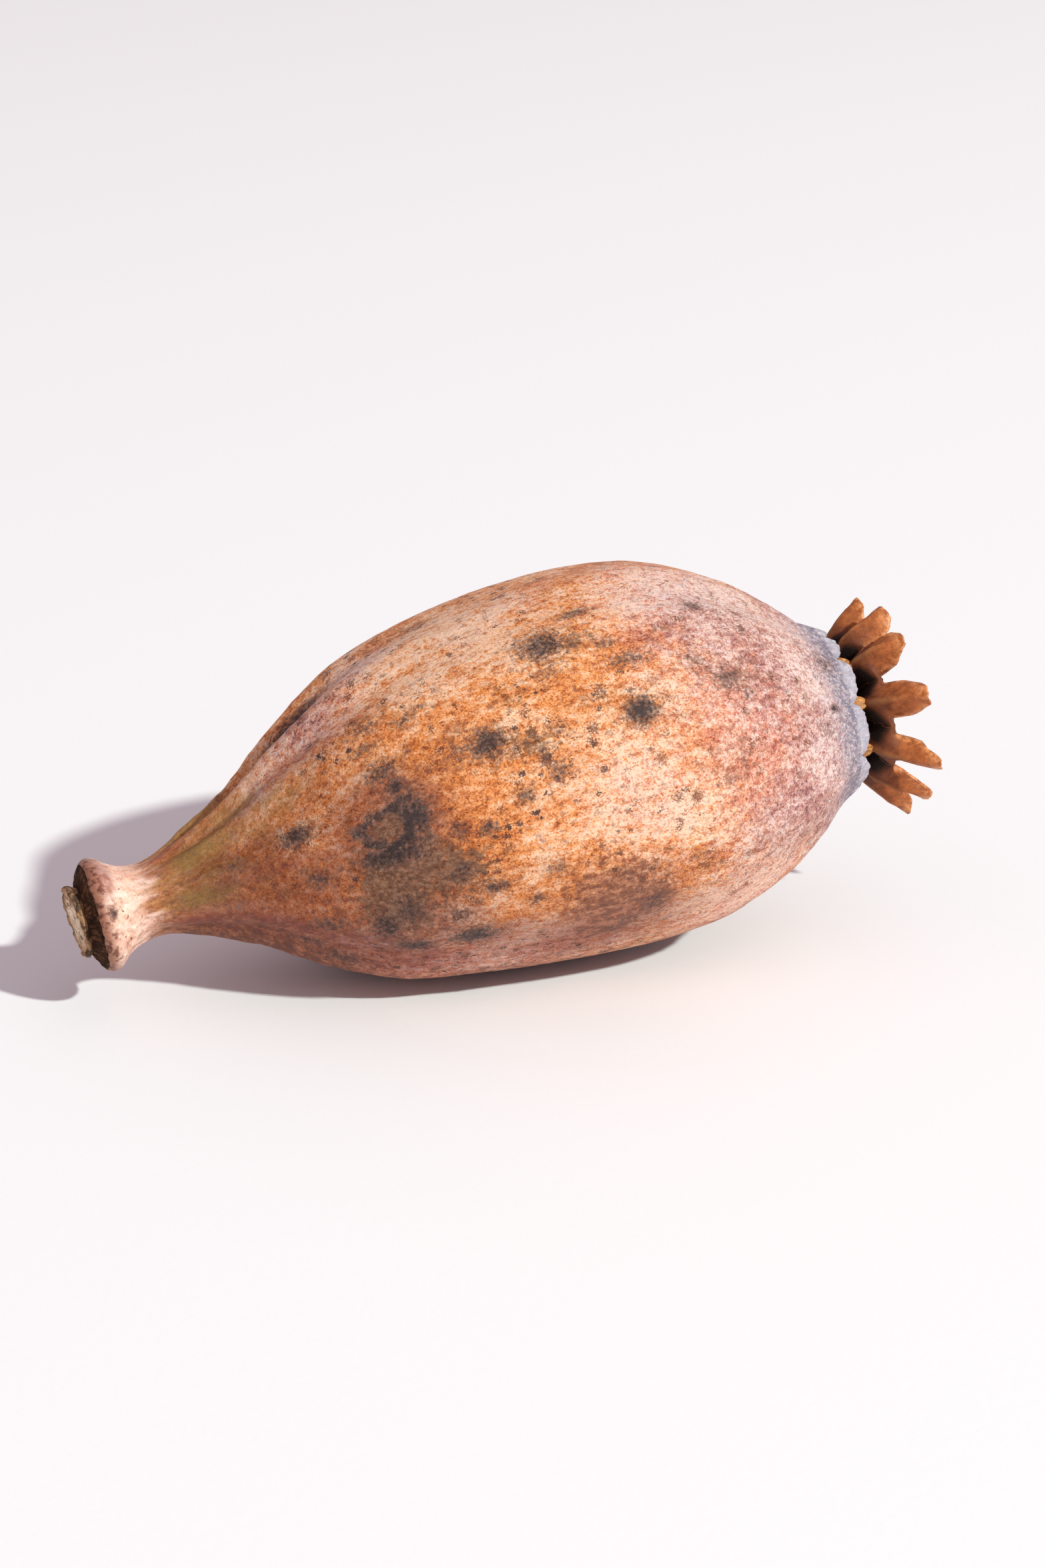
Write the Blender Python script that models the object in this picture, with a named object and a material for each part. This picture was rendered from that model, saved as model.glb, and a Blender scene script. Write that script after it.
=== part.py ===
"""A dried poppy seed head lying on its side: hollow capsule, crown of stigma rays, broken stalk end.

Each piece is modelled in growth coordinates: x runs along the capsule from the scar rim at the stalk
to the crown, and y and z lie across it. A parent empty then lays the head down at its resting tilt.
"""

import math
import random

import bmesh
import bpy
from mathutils import Vector

MM = 0.001

# Driving dimensions
RIM_X = 70.5 * MM  # from the crest of the scar rim to the mouth of the capsule
WALL = 1.1 * MM
LIP_WALL = 0.7 * MM
HOLLOW_START = 13.0 * MM  # the hollow's closed end, past the solid neck
BEND_UP = 2.2 * MM  # how far the middle of the capsule bows up from a straight line
BEND_SIDE = -0.9 * MM  # and how far it bows sideways
CROWN_DROOP = 0.17  # how steeply the crown falls away from the capsule's axis
REST_TILT = math.radians(9.3)  # the crown end lies higher than the stalk end
FLAT_DEPTH = 0.25 * MM  # how much of the belly the resting flat takes off
TOUCH_GAP = 0.3 * MM  # clearance between pieces that touch
VALVE_LENGTH = 0.9 * MM  # how far each valve of the mouth stands past the notches at the struts
VALVE_FLARE = 0.35 * MM
FURROW_ANGLE = math.radians(76)  # the deep fold by the neck
FURROW_WIDTH = 0.19
FURROW_DEPTH = 1.1 * MM

# Outline of the capsule wall from the scar rim to the mouth: distance along, radius
WALL_OUTLINE = [
    (x * MM, r * MM)
    for x, r in (
        (0.0, 5.15),
        (0.9, 4.95),
        (2.0, 4.05),
        (3.5, 3.5),
        (5.1, 3.42),
        (6.8, 3.85),
        (9.4, 4.85),
        (13.4, 6.9),
        (18.3, 10.5),
        (24.5, 14.1),
        (30.6, 15.95),
        (36.7, 17.05),
        (43.0, 17.65),
        (49.0, 17.65),
        (55.2, 16.7),
        (61.3, 14.2),
        (65.0, 11.85),
        (67.6, 9.7),
        (69.4, 8.1),
        (70.5, 7.2),
    )
]

# Rings between the wall and the sunk seat of the stalk: distance along, radius
SCAR_RINGS = [
    (x * MM, r * MM)
    for x, r in ((-0.45, 4.55), (-0.95, 3.95), (-1.35, 3.45), (-1.3, 3.28))
]
SEAT_RADIUS = 3.28 * MM
SEAT_FLOOR_X = 0.8 * MM

# The stigma rays, which stand over the partitions. Angles run from the far side, +y, up over the top.
RAY_ANGLES = [math.radians(a) for a in (10, 38, 66, 93, 119, 155, 196, 233, 262, 288, 315, 343)]
RAY_LENGTHS = (1.0, 0.92, 0.9, 0.98, 0.95, 1.04, 1.08, 1.0, 1.08, 1.02, 0.95, 1.05)
RAY_LEANS = [math.radians(a) for a in (3, -4, 4, -3, 0, 2, 1, -4, 9, -2, 4, -3)]
RAY_HALF_WIDTHS = [w * MM for w in (1.7, 1.6, 1.45, 1.6, 1.95, 1.95, 1.65, 1.6, 1.45, 1.7, 1.75, 1.6)]
RAY_COUNT = len(RAY_ANGLES)

# The keel of a ray: distance from the axis, height over the capsule's mouth
RAY_KEEL = [
    (r * MM, h * MM)
    for r, h in ((0.0, 1.35), (2.6, 1.15), (5.0, 1.3), (6.5, 1.85), (7.55, 2.95), (8.9, 4.75), (10.0, 6.35))
]
NOTCH_STATION = 3.4  # where neighbouring rays part, counted in stations of RAY_KEEL
RAY_PLEATS = [p * MM for p in (0.0, 0.5, 1.15, 1.35, 1.3, 1.2, 0.8)]  # how far the edges stand past the keel
RAY_THICKNESS = 0.8 * MM
STIGMA_RIDGE = 0.3 * MM

# The stubs of the partitions that stand in the mouth and carry the crown
STRUT_THICKNESS = 1.0 * MM
STRUT_INNER_RADIUS = 4.3 * MM
STRUT_OUTER_RADIUS = 6.45 * MM
STRUT_ROOT_DEPTH = 5.0 * MM

# The broken stalk: how far it ends past the scar's crest on average, and how much more at BREAK_ANGLE
STALK_RADIUS = 3.1 * MM
BREAK_MEAN = 1.95 * MM
BREAK_SLANT = 0.5 * MM
BREAK_ANGLE = math.radians(50)

# Sides and rows of the faceted surfaces
SECTOR_SIDES = 6
WALL_ROWS = 25
HOLLOW_ROWS = 11
RAY_COLUMNS = 4
WEB_ROWS = 3
LOBE_ROWS = 4
STALK_SIDES = 28

CAPSULE_COLOUR = (0.62, 0.33, 0.17, 1.0)
CROWN_COLOUR = (0.36, 0.16, 0.07, 1.0)
STALK_COLOUR = (0.42, 0.35, 0.2, 1.0)


def clear_scene():
    for obj in list(bpy.data.objects):
        bpy.data.objects.remove(obj, do_unlink=True)


def smooth_between(low, high, value):
    """0 below low, 1 above high, with an even S in between."""
    t = min(1.0, max(0.0, (value - low) / (high - low)))
    return t * t * (3 - 2 * t)


def curve_at(stations, position):
    """The point at a position counted in stations, on a smooth curve through them."""
    last = len(stations) - 1
    position = min(max(position, 0.0), last)
    i = min(int(position), last - 1)
    t = position - i
    before, start, end, after = (stations[min(max(i + k, 0), last)] for k in (-1, 0, 1, 2))
    return tuple(
        0.5 * (2 * b + (c - a) * t + (2 * a - 5 * b + 4 * c - d) * t**2 + (3 * b - a - 3 * c + d) * t**3)
        for a, b, c, d in zip(before, start, end, after)
    )


def outline_radius(x):
    """The wall's mean radius at a distance along the capsule."""
    low, high = 0.0, float(len(WALL_OUTLINE) - 1)
    for _ in range(30):
        middle = (low + high) / 2
        if curve_at(WALL_OUTLINE, middle)[0] < x:
            low = middle
        else:
            high = middle
    return curve_at(WALL_OUTLINE, low)[1]


def axis_point(x):
    """The bent axis: it bows up and sideways between the scar rim and the mouth, then falls away."""
    bow = math.sin(math.pi * min(max(x / RIM_X, 0.0), 1.0) ** 1.25)
    return Vector((x, BEND_SIDE * bow, BEND_UP * bow - CROWN_DROOP * max(x - RIM_X, 0.0)))


def sector_angle(sector, share):
    """The angle at a share of the way from one ray to the next."""
    start = RAY_ANGLES[sector % RAY_COUNT]
    span = (RAY_ANGLES[(sector + 1) % RAY_COUNT] - start) % math.tau
    return start + span * share


def around(angle, x, radius):
    """The point at an angle and radius round the bent axis."""
    return axis_point(x) + Vector((0, radius * math.cos(angle), radius * math.sin(angle)))


def surface_relief(x, angle, share):
    """Ribs over the partitions, broad dents of drying, and one deep furrow by the neck."""
    near_neck = smooth_between(5 * MM, 12 * MM, x) * (1 - smooth_between(20 * MM, 36 * MM, x))
    near_mouth = smooth_between(52 * MM, 64 * MM, x)
    rib_height = (0.12 + 0.3 * near_neck + 0.14 * near_mouth) * MM * smooth_between(3 * MM, 9 * MM, x)
    rib = rib_height * math.cos(math.tau * share)
    swell = smooth_between(10 * MM, 24 * MM, x) * (1 - smooth_between(58 * MM, 69 * MM, x))
    dent = (
        0.22 * math.sin(2 * angle + 0.5 + 55 * x)
        + 0.16 * math.sin(3 * angle + 2.1 - 90 * x)
        + 0.1 * math.sin(5 * angle + 4.0 + 160 * x)
    )
    turn = (angle - FURROW_ANGLE + math.pi) % math.tau - math.pi
    fold = smooth_between(9 * MM, 16 * MM, x) * (1 - smooth_between(20 * MM, 29 * MM, x))
    furrow = math.exp(-((turn / FURROW_WIDTH) ** 2)) * fold
    return rib + dent * MM * swell - FURROW_DEPTH * furrow


def valve(share):
    """The scalloped edge of the mouth: 0 at a strut, 1 in the middle of a valve."""
    return abs(math.sin(math.pi * share)) ** 0.7


def ring(x, radius, relief=True, mouth=0.0):
    """One ring of the wall. mouth is 1 at the scalloped edge and fades down the wall."""
    points = []
    for sector in range(RAY_COUNT):
        for side in range(SECTOR_SIDES):
            share = side / SECTOR_SIDES
            angle = sector_angle(sector, share)
            reach = mouth * valve(share)
            bump = surface_relief(x, angle, share) if relief else 0.0
            point = around(angle, x, radius + bump + VALVE_FLARE * reach)
            point.x += VALVE_LENGTH * reach
            points.append(point)
    return points


def loft(name, rings, colour, first_pole=None, last_pole=None):
    """A closed solid from rings of points, each end shut by a fan to its pole."""
    mesh = bpy.data.meshes.new(name)
    form = bmesh.new()
    loops = [[form.verts.new(p) for p in points] for points in rings]
    sides = len(loops[0])
    for lower, upper in zip(loops, loops[1:]):
        for i in range(sides):
            j = (i + 1) % sides
            form.faces.new((lower[i], lower[j], upper[j], upper[i]))
    for loop, pole in ((loops[0], first_pole), (loops[-1], last_pole)):
        tip = form.verts.new(pole)
        for i in range(sides):
            form.faces.new((loop[i], loop[(i + 1) % sides], tip))
    return finish_object(name, mesh, form, colour)


def finish_object(name, mesh, form, colour):
    """Turns a bmesh form into a named object, faces outwards, shaded smooth, with its material."""
    bmesh.ops.recalc_face_normals(form, faces=form.faces)
    bmesh.ops.triangulate(form, faces=form.faces)
    form.to_mesh(mesh)
    form.free()
    mesh.shade_smooth()
    mesh.set_sharp_from_angle(angle=math.radians(50))
    mesh.materials.append(plain_material(name, colour))
    obj = bpy.data.objects.new(name, mesh)
    bpy.context.scene.collection.objects.link(obj)
    return obj


def plain_material(name, colour, roughness=0.7):
    material = bpy.data.materials.new(name)
    material.use_nodes = True
    shader = material.node_tree.nodes["Principled BSDF"]
    shader.inputs["Base Color"].default_value = colour
    shader.inputs["Roughness"].default_value = roughness
    shader.inputs["Metallic"].default_value = 0.0
    return material


def wall_stations():
    """Distances along the wall, closer together at the neck and by the mouth."""
    stations = []
    for row in range(WALL_ROWS + 1):
        share = row / WALL_ROWS
        stations.append(RIM_X * (share - 0.085 * math.sin(math.tau * share)))
    return stations


def outer_rings():
    """From the seat of the stalk, out over the scar rim and along the wall to the mouth."""
    seat = ring(SEAT_FLOOR_X, SEAT_RADIUS, relief=False)
    rings = [seat]
    for x, radius in reversed(SCAR_RINGS):
        rings.append(ring(x, radius, relief=False))
    for x in wall_stations():
        mouth = smooth_between(RIM_X - 2.2 * MM, RIM_X, x)
        rings.append(ring(x, outline_radius(x), mouth=mouth))
    return rings


def inner_rings():
    """From the mouth down the inside of the wall to the closed end of the hollow."""
    rings = [ring(RIM_X - 0.15 * MM, outline_radius(RIM_X) - LIP_WALL, relief=False, mouth=1.0)]
    for row in range(1, HOLLOW_ROWS):
        share = row / HOLLOW_ROWS
        x = RIM_X - (RIM_X - HOLLOW_START) * (share - 0.1 * math.sin(math.tau * share))
        wall = LIP_WALL + (WALL - LIP_WALL) * smooth_between(0.0, 0.2, share)
        closing = smooth_between(HOLLOW_START, HOLLOW_START + 9 * MM, x)
        radius = (outline_radius(x) - wall) * (0.35 + 0.65 * closing)
        rings.append(ring(x, radius))
    return rings


def keel_point(position):
    """Height over the mouth and distance from the axis on the keel of a ray."""
    radius, height = curve_at(RAY_KEEL, position)
    return radius, height


def keel_normal(position):
    """The direction across a ray's blade, towards the inside of the crown, as (outward, along)."""
    position = min(max(position, 0.05), len(RAY_KEEL) - 1.05)
    r0, h0 = keel_point(position - 0.05)
    r1, h1 = keel_point(position + 0.05)
    length = math.hypot(r1 - r0, h1 - h0)
    return -(h1 - h0) / length, (r1 - r0) / length


def under_crown(radius):
    """The height over the mouth of the crown's underside, on a keel, at a distance from the axis."""
    low, high = 0.0, float(len(RAY_KEEL) - 1)
    for _ in range(30):
        middle = (low + high) / 2
        if keel_point(middle)[0] < radius:
            low = middle
        else:
            high = middle
    out, along = keel_normal(low)
    return keel_point(low)[1] - RAY_THICKNESS / 2 / max(along, 0.3)


def strut(angle):
    """The end of one partition: a fin rooted in the wall that rises to carry the crown."""
    root = RIM_X - STRUT_ROOT_DEPTH
    sunk = 0.45 * MM
    edge = [
        (root, outline_radius(root) - WALL + sunk),
        (RIM_X - 2.4 * MM, outline_radius(RIM_X - 2.4 * MM) - 0.9 * MM + sunk),
        (RIM_X - 0.1 * MM, outline_radius(RIM_X) - LIP_WALL + 0.35 * MM),
        (RIM_X + 0.35 * MM, STRUT_OUTER_RADIUS + 0.25 * MM),
        (RIM_X + under_crown(STRUT_OUTER_RADIUS) - TOUCH_GAP, STRUT_OUTER_RADIUS),
        (RIM_X + under_crown(5.4 * MM) - TOUCH_GAP, 5.4 * MM),
        (RIM_X + under_crown(STRUT_INNER_RADIUS) - TOUCH_GAP, STRUT_INNER_RADIUS),
        (RIM_X - 1.2 * MM, STRUT_INNER_RADIUS + 0.7 * MM),
        (root, outline_radius(root) - WALL - 1.1 * MM),
    ]
    mesh = bpy.data.meshes.new("strut")
    form = bmesh.new()
    sideways = Vector((0, -math.sin(angle), math.cos(angle))) * STRUT_THICKNESS / 2
    face = form.faces.new([form.verts.new(around(angle, x, r) - sideways) for x, r in edge])
    made = bmesh.ops.extrude_face_region(form, geom=[face])
    moved = [v for v in made["geom"] if isinstance(v, bmesh.types.BMVert)]
    bmesh.ops.translate(form, verts=moved, vec=2 * sideways)
    bmesh.ops.recalc_face_normals(form, faces=form.faces)
    bmesh.ops.triangulate(form, faces=form.faces)
    form.to_mesh(mesh)
    form.free()
    return bpy.data.objects.new("strut", mesh)


def unite(target, pieces):
    """Fuses loose pieces into the target, then removes them."""
    group = bpy.data.collections.new("fused")
    bpy.context.scene.collection.children.link(group)
    for piece in pieces:
        group.objects.link(piece)
    union = target.modifiers.new("fuse", "BOOLEAN")
    union.operation = "UNION"
    union.operand_type = "COLLECTION"
    union.collection = group
    union.solver = "EXACT"
    bpy.context.view_layer.update()
    fused = bpy.data.meshes.new_from_object(target.evaluated_get(bpy.context.evaluated_depsgraph_get()))
    target.modifiers.clear()
    target.data = fused
    for piece in pieces:
        bpy.data.objects.remove(piece)
    bpy.data.collections.remove(group)


def capsule():
    """The pod wall with its neck, scar rim, scalloped valves and the partition ends in its mouth."""
    outer = outer_rings()
    inner = inner_rings()
    poles = axis_point(SEAT_FLOOR_X), axis_point(HOLLOW_START)
    wall = loft("capsule", outer + inner, CAPSULE_COLOUR, *poles)
    unite(wall, [strut(angle) for angle in RAY_ANGLES])
    return wall


def ray_pleat(place):
    """How far a ray's edges stand past its keel, at a place counted in stations of RAY_KEEL."""
    i = min(int(place), len(RAY_PLEATS) - 2)
    return RAY_PLEATS[i] + (RAY_PLEATS[i + 1] - RAY_PLEATS[i]) * (place - i)


def ray_point(ray, position, across, side, ragged):
    """A point on one face of the crown. across runs from -1 to 1 over a ray, side is 1 on its upper face."""
    last = len(RAY_KEEL) - 1
    angle = RAY_ANGLES[ray]
    gap_before = (angle - RAY_ANGLES[ray - 1]) % math.tau / 2
    gap_after = (RAY_ANGLES[(ray + 1) % RAY_COUNT] - angle) % math.tau / 2
    half_gap = gap_after if across > 0 else gap_before
    beyond = max(0.0, position - NOTCH_STATION)
    if beyond:
        shorter = 1 - 0.2 * abs(across) ** 2.6 - ragged * (beyond / (last - NOTCH_STATION))
        beyond *= max(shorter, 0.5)
    place = min(position, NOTCH_STATION) + beyond
    radius, height = keel_point(place)
    out, along = keel_normal(place)
    notch_radius, notch_height = keel_point(NOTCH_STATION)
    if beyond:
        run, rise = (radius - notch_radius) * RAY_LENGTHS[ray], (height - notch_height) * RAY_LENGTHS[ray]
        lean = RAY_LEANS[ray]
        radius = notch_radius + run * math.cos(lean) + rise * math.sin(lean)
        height = notch_height + rise * math.cos(lean) - run * math.sin(lean)
    keel = (math.sqrt(across**2 + 0.05) - math.sqrt(0.05)) / (math.sqrt(1.05) - math.sqrt(0.05))
    thickness = RAY_THICKNESS / 2
    if side > 0:
        fade = smooth_between(0.6, 1.4, position) * (1 - smooth_between(last - 1.2, last - 0.3, position))
        thickness += STIGMA_RIDGE * math.exp(-((across / 0.24) ** 2)) * fade
    pleat = ray_pleat(place) * keel
    turned_up = smooth_between(NOTCH_STATION - 0.3, NOTCH_STATION + 1.2, position)
    free = smooth_between(0.0, 1.1, position - NOTCH_STATION)
    half_width = half_gap * notch_radius + (RAY_HALF_WIDTHS[ray] - half_gap * notch_radius) * free
    half_angle = half_gap if position <= NOTCH_STATION else half_width / radius
    turned = angle + across * half_angle
    height += along * side * thickness + pleat * (1 - turned_up * (1 - along))
    return around(turned, RIM_X + height, radius + out * (side * thickness + pleat * turned_up))


def crown_positions():
    """Rows of the crown, counted in stations of the keel, from the first ring to the tips."""
    last = len(RAY_KEEL) - 1
    web = [0.45 + (NOTCH_STATION - 0.45) * i / WEB_ROWS for i in range(WEB_ROWS + 1)]
    lobe = [NOTCH_STATION + (last - NOTCH_STATION) * i / LOBE_ROWS for i in range(1, LOBE_ROWS + 1)]
    return web, lobe


def crown():
    """The stigma disc: a pleated funnel whose rays part into blunt, ragged blades."""
    chance = random.Random(12)
    web, lobe = crown_positions()
    mesh = bpy.data.meshes.new("stigma_crown")
    form = bmesh.new()
    poles = {}
    for side in (1, -1):
        height = keel_point(0)[1] + side * RAY_THICKNESS / 2
        poles[side] = form.verts.new(axis_point(RIM_X + height))
    columns = [-1 + 2 * c / RAY_COLUMNS for c in range(RAY_COLUMNS + 1)]
    shared = {}
    for ray in range(RAY_COUNT):
        torn = [0.1 * (chance.random() - 0.3) for _ in columns]
        sheets = {}
        for side in (1, -1):
            grid = []
            for row, position in enumerate(web + lobe):
                line = []
                for column, across in enumerate(columns):
                    border = (ray - 1) % RAY_COUNT if column == 0 else ray if column == RAY_COLUMNS else None
                    key = (side, row, border)
                    if border is not None and row < len(web) and key in shared:
                        line.append(shared[key])
                        continue
                    vert = form.verts.new(ray_point(ray, position, across, side, torn[column]))
                    if border is not None and row < len(web):
                        shared[key] = vert
                    line.append(vert)
                grid.append(line)
            sheets[side] = grid
            for a, b in zip(grid[0], grid[0][1:]):
                form.faces.new((a, b, poles[side]))
            for lower, upper in zip(grid, grid[1:]):
                for c in range(RAY_COLUMNS):
                    form.faces.new((lower[c], lower[c + 1], upper[c + 1], upper[c]))
        top, under = sheets[1], sheets[-1]
        rim = [(r, 0) for r in range(len(web) - 1, len(web) + len(lobe))]
        rim += [(len(web) + len(lobe) - 1, c) for c in range(1, RAY_COLUMNS + 1)]
        rim += [(r, RAY_COLUMNS) for r in range(len(web) + len(lobe) - 2, len(web) - 2, -1)]
        for (r0, c0), (r1, c1) in zip(rim, rim[1:]):
            form.faces.new((top[r0][c0], top[r1][c1], under[r1][c1], under[r0][c0]))
    return finish_object("stigma_crown", mesh, form, CROWN_COLOUR)


def break_depth(angle, radius):
    """How far past the scar's crest the stalk ends, which slants because it broke off askew."""
    return BREAK_MEAN + BREAK_SLANT * math.cos(angle - BREAK_ANGLE) * min(radius / STALK_RADIUS, 1.0)


def stalk_end():
    """What is left of the stalk: a short plug with a torn rind and a slanting, pithy break."""
    chance = random.Random(5)
    tears = [chance.uniform(-0.2, 0.2) * MM for _ in range(STALK_SIDES)]
    plug = ((0.5, 2.85), (-1.3, 2.93))  # in the seat: distance along, radius
    rind = ((0.3, 3.08, 0.2), (0.85, 3.12, 0.7), (1.0, 2.8, 1.0), (0.93, 2.0, 0.4), (0.97, 1.0, 0.2))
    rings = []
    for x, radius in plug:
        rings.append([around(math.tau * i / STALK_SIDES, 0, radius * MM) for i in range(STALK_SIDES)])
        for point in rings[-1]:
            point.x = x * MM
    start = plug[-1][0] * MM
    for share, radius, tear in rind:
        points = []
        for i in range(STALK_SIDES):
            angle = math.tau * i / STALK_SIDES
            wave = 1 + 0.02 * math.sin(3 * angle + 1) + 0.01 * math.sin(7 * angle)
            point = around(angle, 0, radius * MM * wave)
            point.x = start - share * (start + break_depth(angle, radius * MM)) + tear * tears[i]
            points.append(point)
        rings.append(points)
    return loft("stalk_end", rings, STALK_COLOUR, Vector((0.5 * MM, 0, 0)), Vector((-BREAK_MEAN, 0, 0)))


def lay_down(pieces):
    """Lays the pieces at the resting tilt, on a flat on the belly, with the origin under the middle."""
    slope, rise = math.sin(REST_TILT), math.cos(REST_TILT)
    wall = next(piece for piece in pieces if piece.name == "capsule")
    lowest = min(slope * v.co.x + rise * v.co.z for v in wall.data.vertices)
    floor = lowest + FLAT_DEPTH
    for vert in wall.data.vertices:
        if slope * vert.co.x + rise * vert.co.z < floor:
            vert.co.z = (floor - slope * vert.co.x) / rise
    points = [v.co for piece in pieces for v in piece.data.vertices]
    level = [rise * p.x - slope * p.z for p in points]
    across = [p.y for p in points]
    seat = bpy.data.objects.new("seed_head", None)
    bpy.context.scene.collection.objects.link(seat)
    seat.rotation_euler = (0, -REST_TILT, 0)
    seat.location = (-(min(level) + max(level)) / 2, -(min(across) + max(across)) / 2, -floor)
    for piece in pieces:
        piece.parent = seat
    bpy.context.view_layer.update()


def main():
    clear_scene()
    lay_down([capsule(), crown(), stalk_end()])


main()
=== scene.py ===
"""Looks of a dried poppy seed head: its mottled skin, stigma crown and broken stalk, on a pale studio floor.

Pieces are shaped in growth coordinates, in metres: x runs from the scar rim at the stalk to the crown, y and z
lie across the pod. settle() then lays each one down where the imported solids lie.
"""

import math

import bmesh
import bpy
import numpy as np
from bpy.props import FloatProperty, FloatVectorProperty, IntProperty, PointerProperty
from mathutils import Euler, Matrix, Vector, noise


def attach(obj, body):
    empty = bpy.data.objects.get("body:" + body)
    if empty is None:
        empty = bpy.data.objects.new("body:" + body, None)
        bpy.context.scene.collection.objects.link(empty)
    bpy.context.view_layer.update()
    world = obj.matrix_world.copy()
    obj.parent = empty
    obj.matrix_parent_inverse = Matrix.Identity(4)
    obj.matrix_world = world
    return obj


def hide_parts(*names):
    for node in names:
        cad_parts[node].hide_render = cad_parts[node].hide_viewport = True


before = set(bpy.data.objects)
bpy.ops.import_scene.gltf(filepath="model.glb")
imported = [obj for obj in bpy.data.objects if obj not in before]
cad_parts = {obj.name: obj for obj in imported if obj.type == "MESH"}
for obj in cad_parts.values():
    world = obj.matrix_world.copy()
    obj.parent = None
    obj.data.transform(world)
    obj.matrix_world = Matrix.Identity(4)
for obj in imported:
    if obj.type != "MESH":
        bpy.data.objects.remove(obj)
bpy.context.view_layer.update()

bl_info = {
    "name": "Poppy Seed Head",
    "version": (1, 0, 0),
    "blender": (4, 5, 0),
    "location": "View3D > Sidebar > Seed Head",
    "description": "Builds a dried poppy seed head and the studio it lies in",
    "category": "Add Mesh",
}

MM = 0.001

# How the pod lies, and where its growth coordinates start in the frame
REST_TILT = math.radians(9.3)
GROWTH_START = (-37.457 * MM, 1.086 * MM, 8.6526 * MM)

# The pod's bent axis and its outline, as in the solids: distance along and radius in mm
RIM_X = 70.5 * MM
BEND_UP = 2.2 * MM
BEND_SIDE = -0.9 * MM
CROWN_DROOP = 0.17
WALL = 1.1 * MM
HOLLOW_START = 13.0 * MM
HOLLOW_TAPER = 9 * MM
SCAR_OUTLINE = (
    (0.3, 0), (0.25, 1.5), (0.1, 2.9), (-1.15, 3), (-1.38, 3.22), (-1.1, 3.75), (-0.85, 4.3), (-0.5, 4.78),
)
WALL_OUTLINE = (
    (0, 5.15), (0.9, 4.95), (2, 4.05), (3.5, 3.5), (5.1, 3.42), (6.8, 3.85), (9.4, 4.85), (13.4, 6.9), (18.3, 10.5),
    (24.5, 14.1), (30.6, 15.95), (36.7, 17.05), (43, 17.65), (49, 17.65), (55.2, 16.7), (61.3, 14.2), (65, 11.85),
    (67.6, 9.7), (69.4, 8.1), (70.5, 7.2),
)
# Inside the mouth: depth below the rim and thickness of the wall, in mm
INNER_WALL = (
    (-0.12, 0.2), (0, 0.45), (0.6, 0.62), (1.4, 0.85), (2.6, 1), (5, 1.1), (9, 1.1), (16, 1.1), (26, 1.1),
    (38, 1.1), (48, 1.1), (54, 1.1), (57, 1.1),
)
LIP_RINGS = 2
VALVE_LENGTH = 0.9 * MM
VALVE_FLARE = 0.35 * MM
VALVE_RAGGED = 0.26
VALVE_DEPTH = 2.4 * MM
FURROW_ANGLE = math.radians(76)
FURROW_WIDTH = 0.18
FURROW_DEPTH = 1.05 * MM
SEAM_DEPTH = 0.16 * MM
SCAR_ROUGHNESS = 0.16 * MM
MOUTH_RADIUS = 7.2 * MM

# The stigma rays, which stand over the partitions. Angles run from the far side, +y, up over the top.
RAY_ANGLES = np.radians((10, 38, 66, 93, 119, 155, 196, 233, 262, 288, 315, 343))
RAY_LENGTHS = (1.0, 0.92, 0.9, 0.98, 0.95, 1.04, 1.08, 1.0, 1.08, 1.02, 0.95, 1.05)
RAY_LEANS = np.radians((3, -4, 4, -3, 0, 2, 1, -4, 9, -2, 4, -3))
RAY_HALF_WIDTHS = (1.7, 1.6, 1.45, 1.6, 1.95, 1.95, 1.65, 1.6, 1.45, 1.7, 1.75, 1.6)
RAY_COUNT = len(RAY_ANGLES)
RAY_KEEL = ((0.0, 1.35), (2.6, 1.15), (5.0, 1.3), (6.5, 1.85), (7.55, 2.95), (8.9, 4.75), (10.0, 6.35))
RAY_END = len(RAY_KEEL) - 1
NOTCH_STATION = 3.4
RAY_PLEATS = (0.0, 0.6, 1.3, 1.4, 1.35, 1.25, 0.8)
RAY_THICKNESS = 0.6 * MM
RAY_CRUMPLE = 0.12 * MM
RAY_CURL = 0.35 * MM
RAY_BLUNTNESS = 0.42
STIGMA_RIDGE = 0.32 * MM
UNDER_RIDGE = 0.2 * MM
PAPILLA_SEED = 3
STRUT_INNER_RADIUS = 4.3 * MM
STRUT_OUTER_RADIUS = 6.45 * MM
STRUT_MIDDLE_RADIUS = 5.4 * MM
STRUT_HALF_THICKNESS = 0.55 * MM
STRUT_ROUGHNESS = 0.12 * MM
STRUT_SWELL = 1.35

# The broken stalk: how far past the scar's crest it ends on average, and how much more at BREAK_ANGLE. The
# outline gives each ring's share of that way and its radius in mm, and STALK_RADIUS is in mm too.
PLUG_TOP = 0.2 * MM
RIND_START = -1.1 * MM
BREAK_MEAN = 2.15 * MM
BREAK_SLANT = 0.3 * MM
BREAK_ANGLE = math.radians(20)
BREAK_OUTLINE = np.array((
    (-0.6, 2.8), (0, 2.9), (0.25, 3.05), (0.6, 3.15), (0.9, 3.14), (1, 3), (1, 2.86), (0.95, 2.5), (0.94, 1.9),
    (1, 1.2), (0.98, 0.6), (0.98, 0),
))
STALK_RADIUS = 3.1
TEAR_DEPTH = 0.25 * MM
PITH_ROUGHNESS = 0.17 * MM
RIND_ROUGHNESS = 0.07 * MM
FIBRE_THICKNESS = 0.06 * MM
FIBRES_PER_SQUARE_METRE = 5.5e6
FIBRE_SEED = 5

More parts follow.
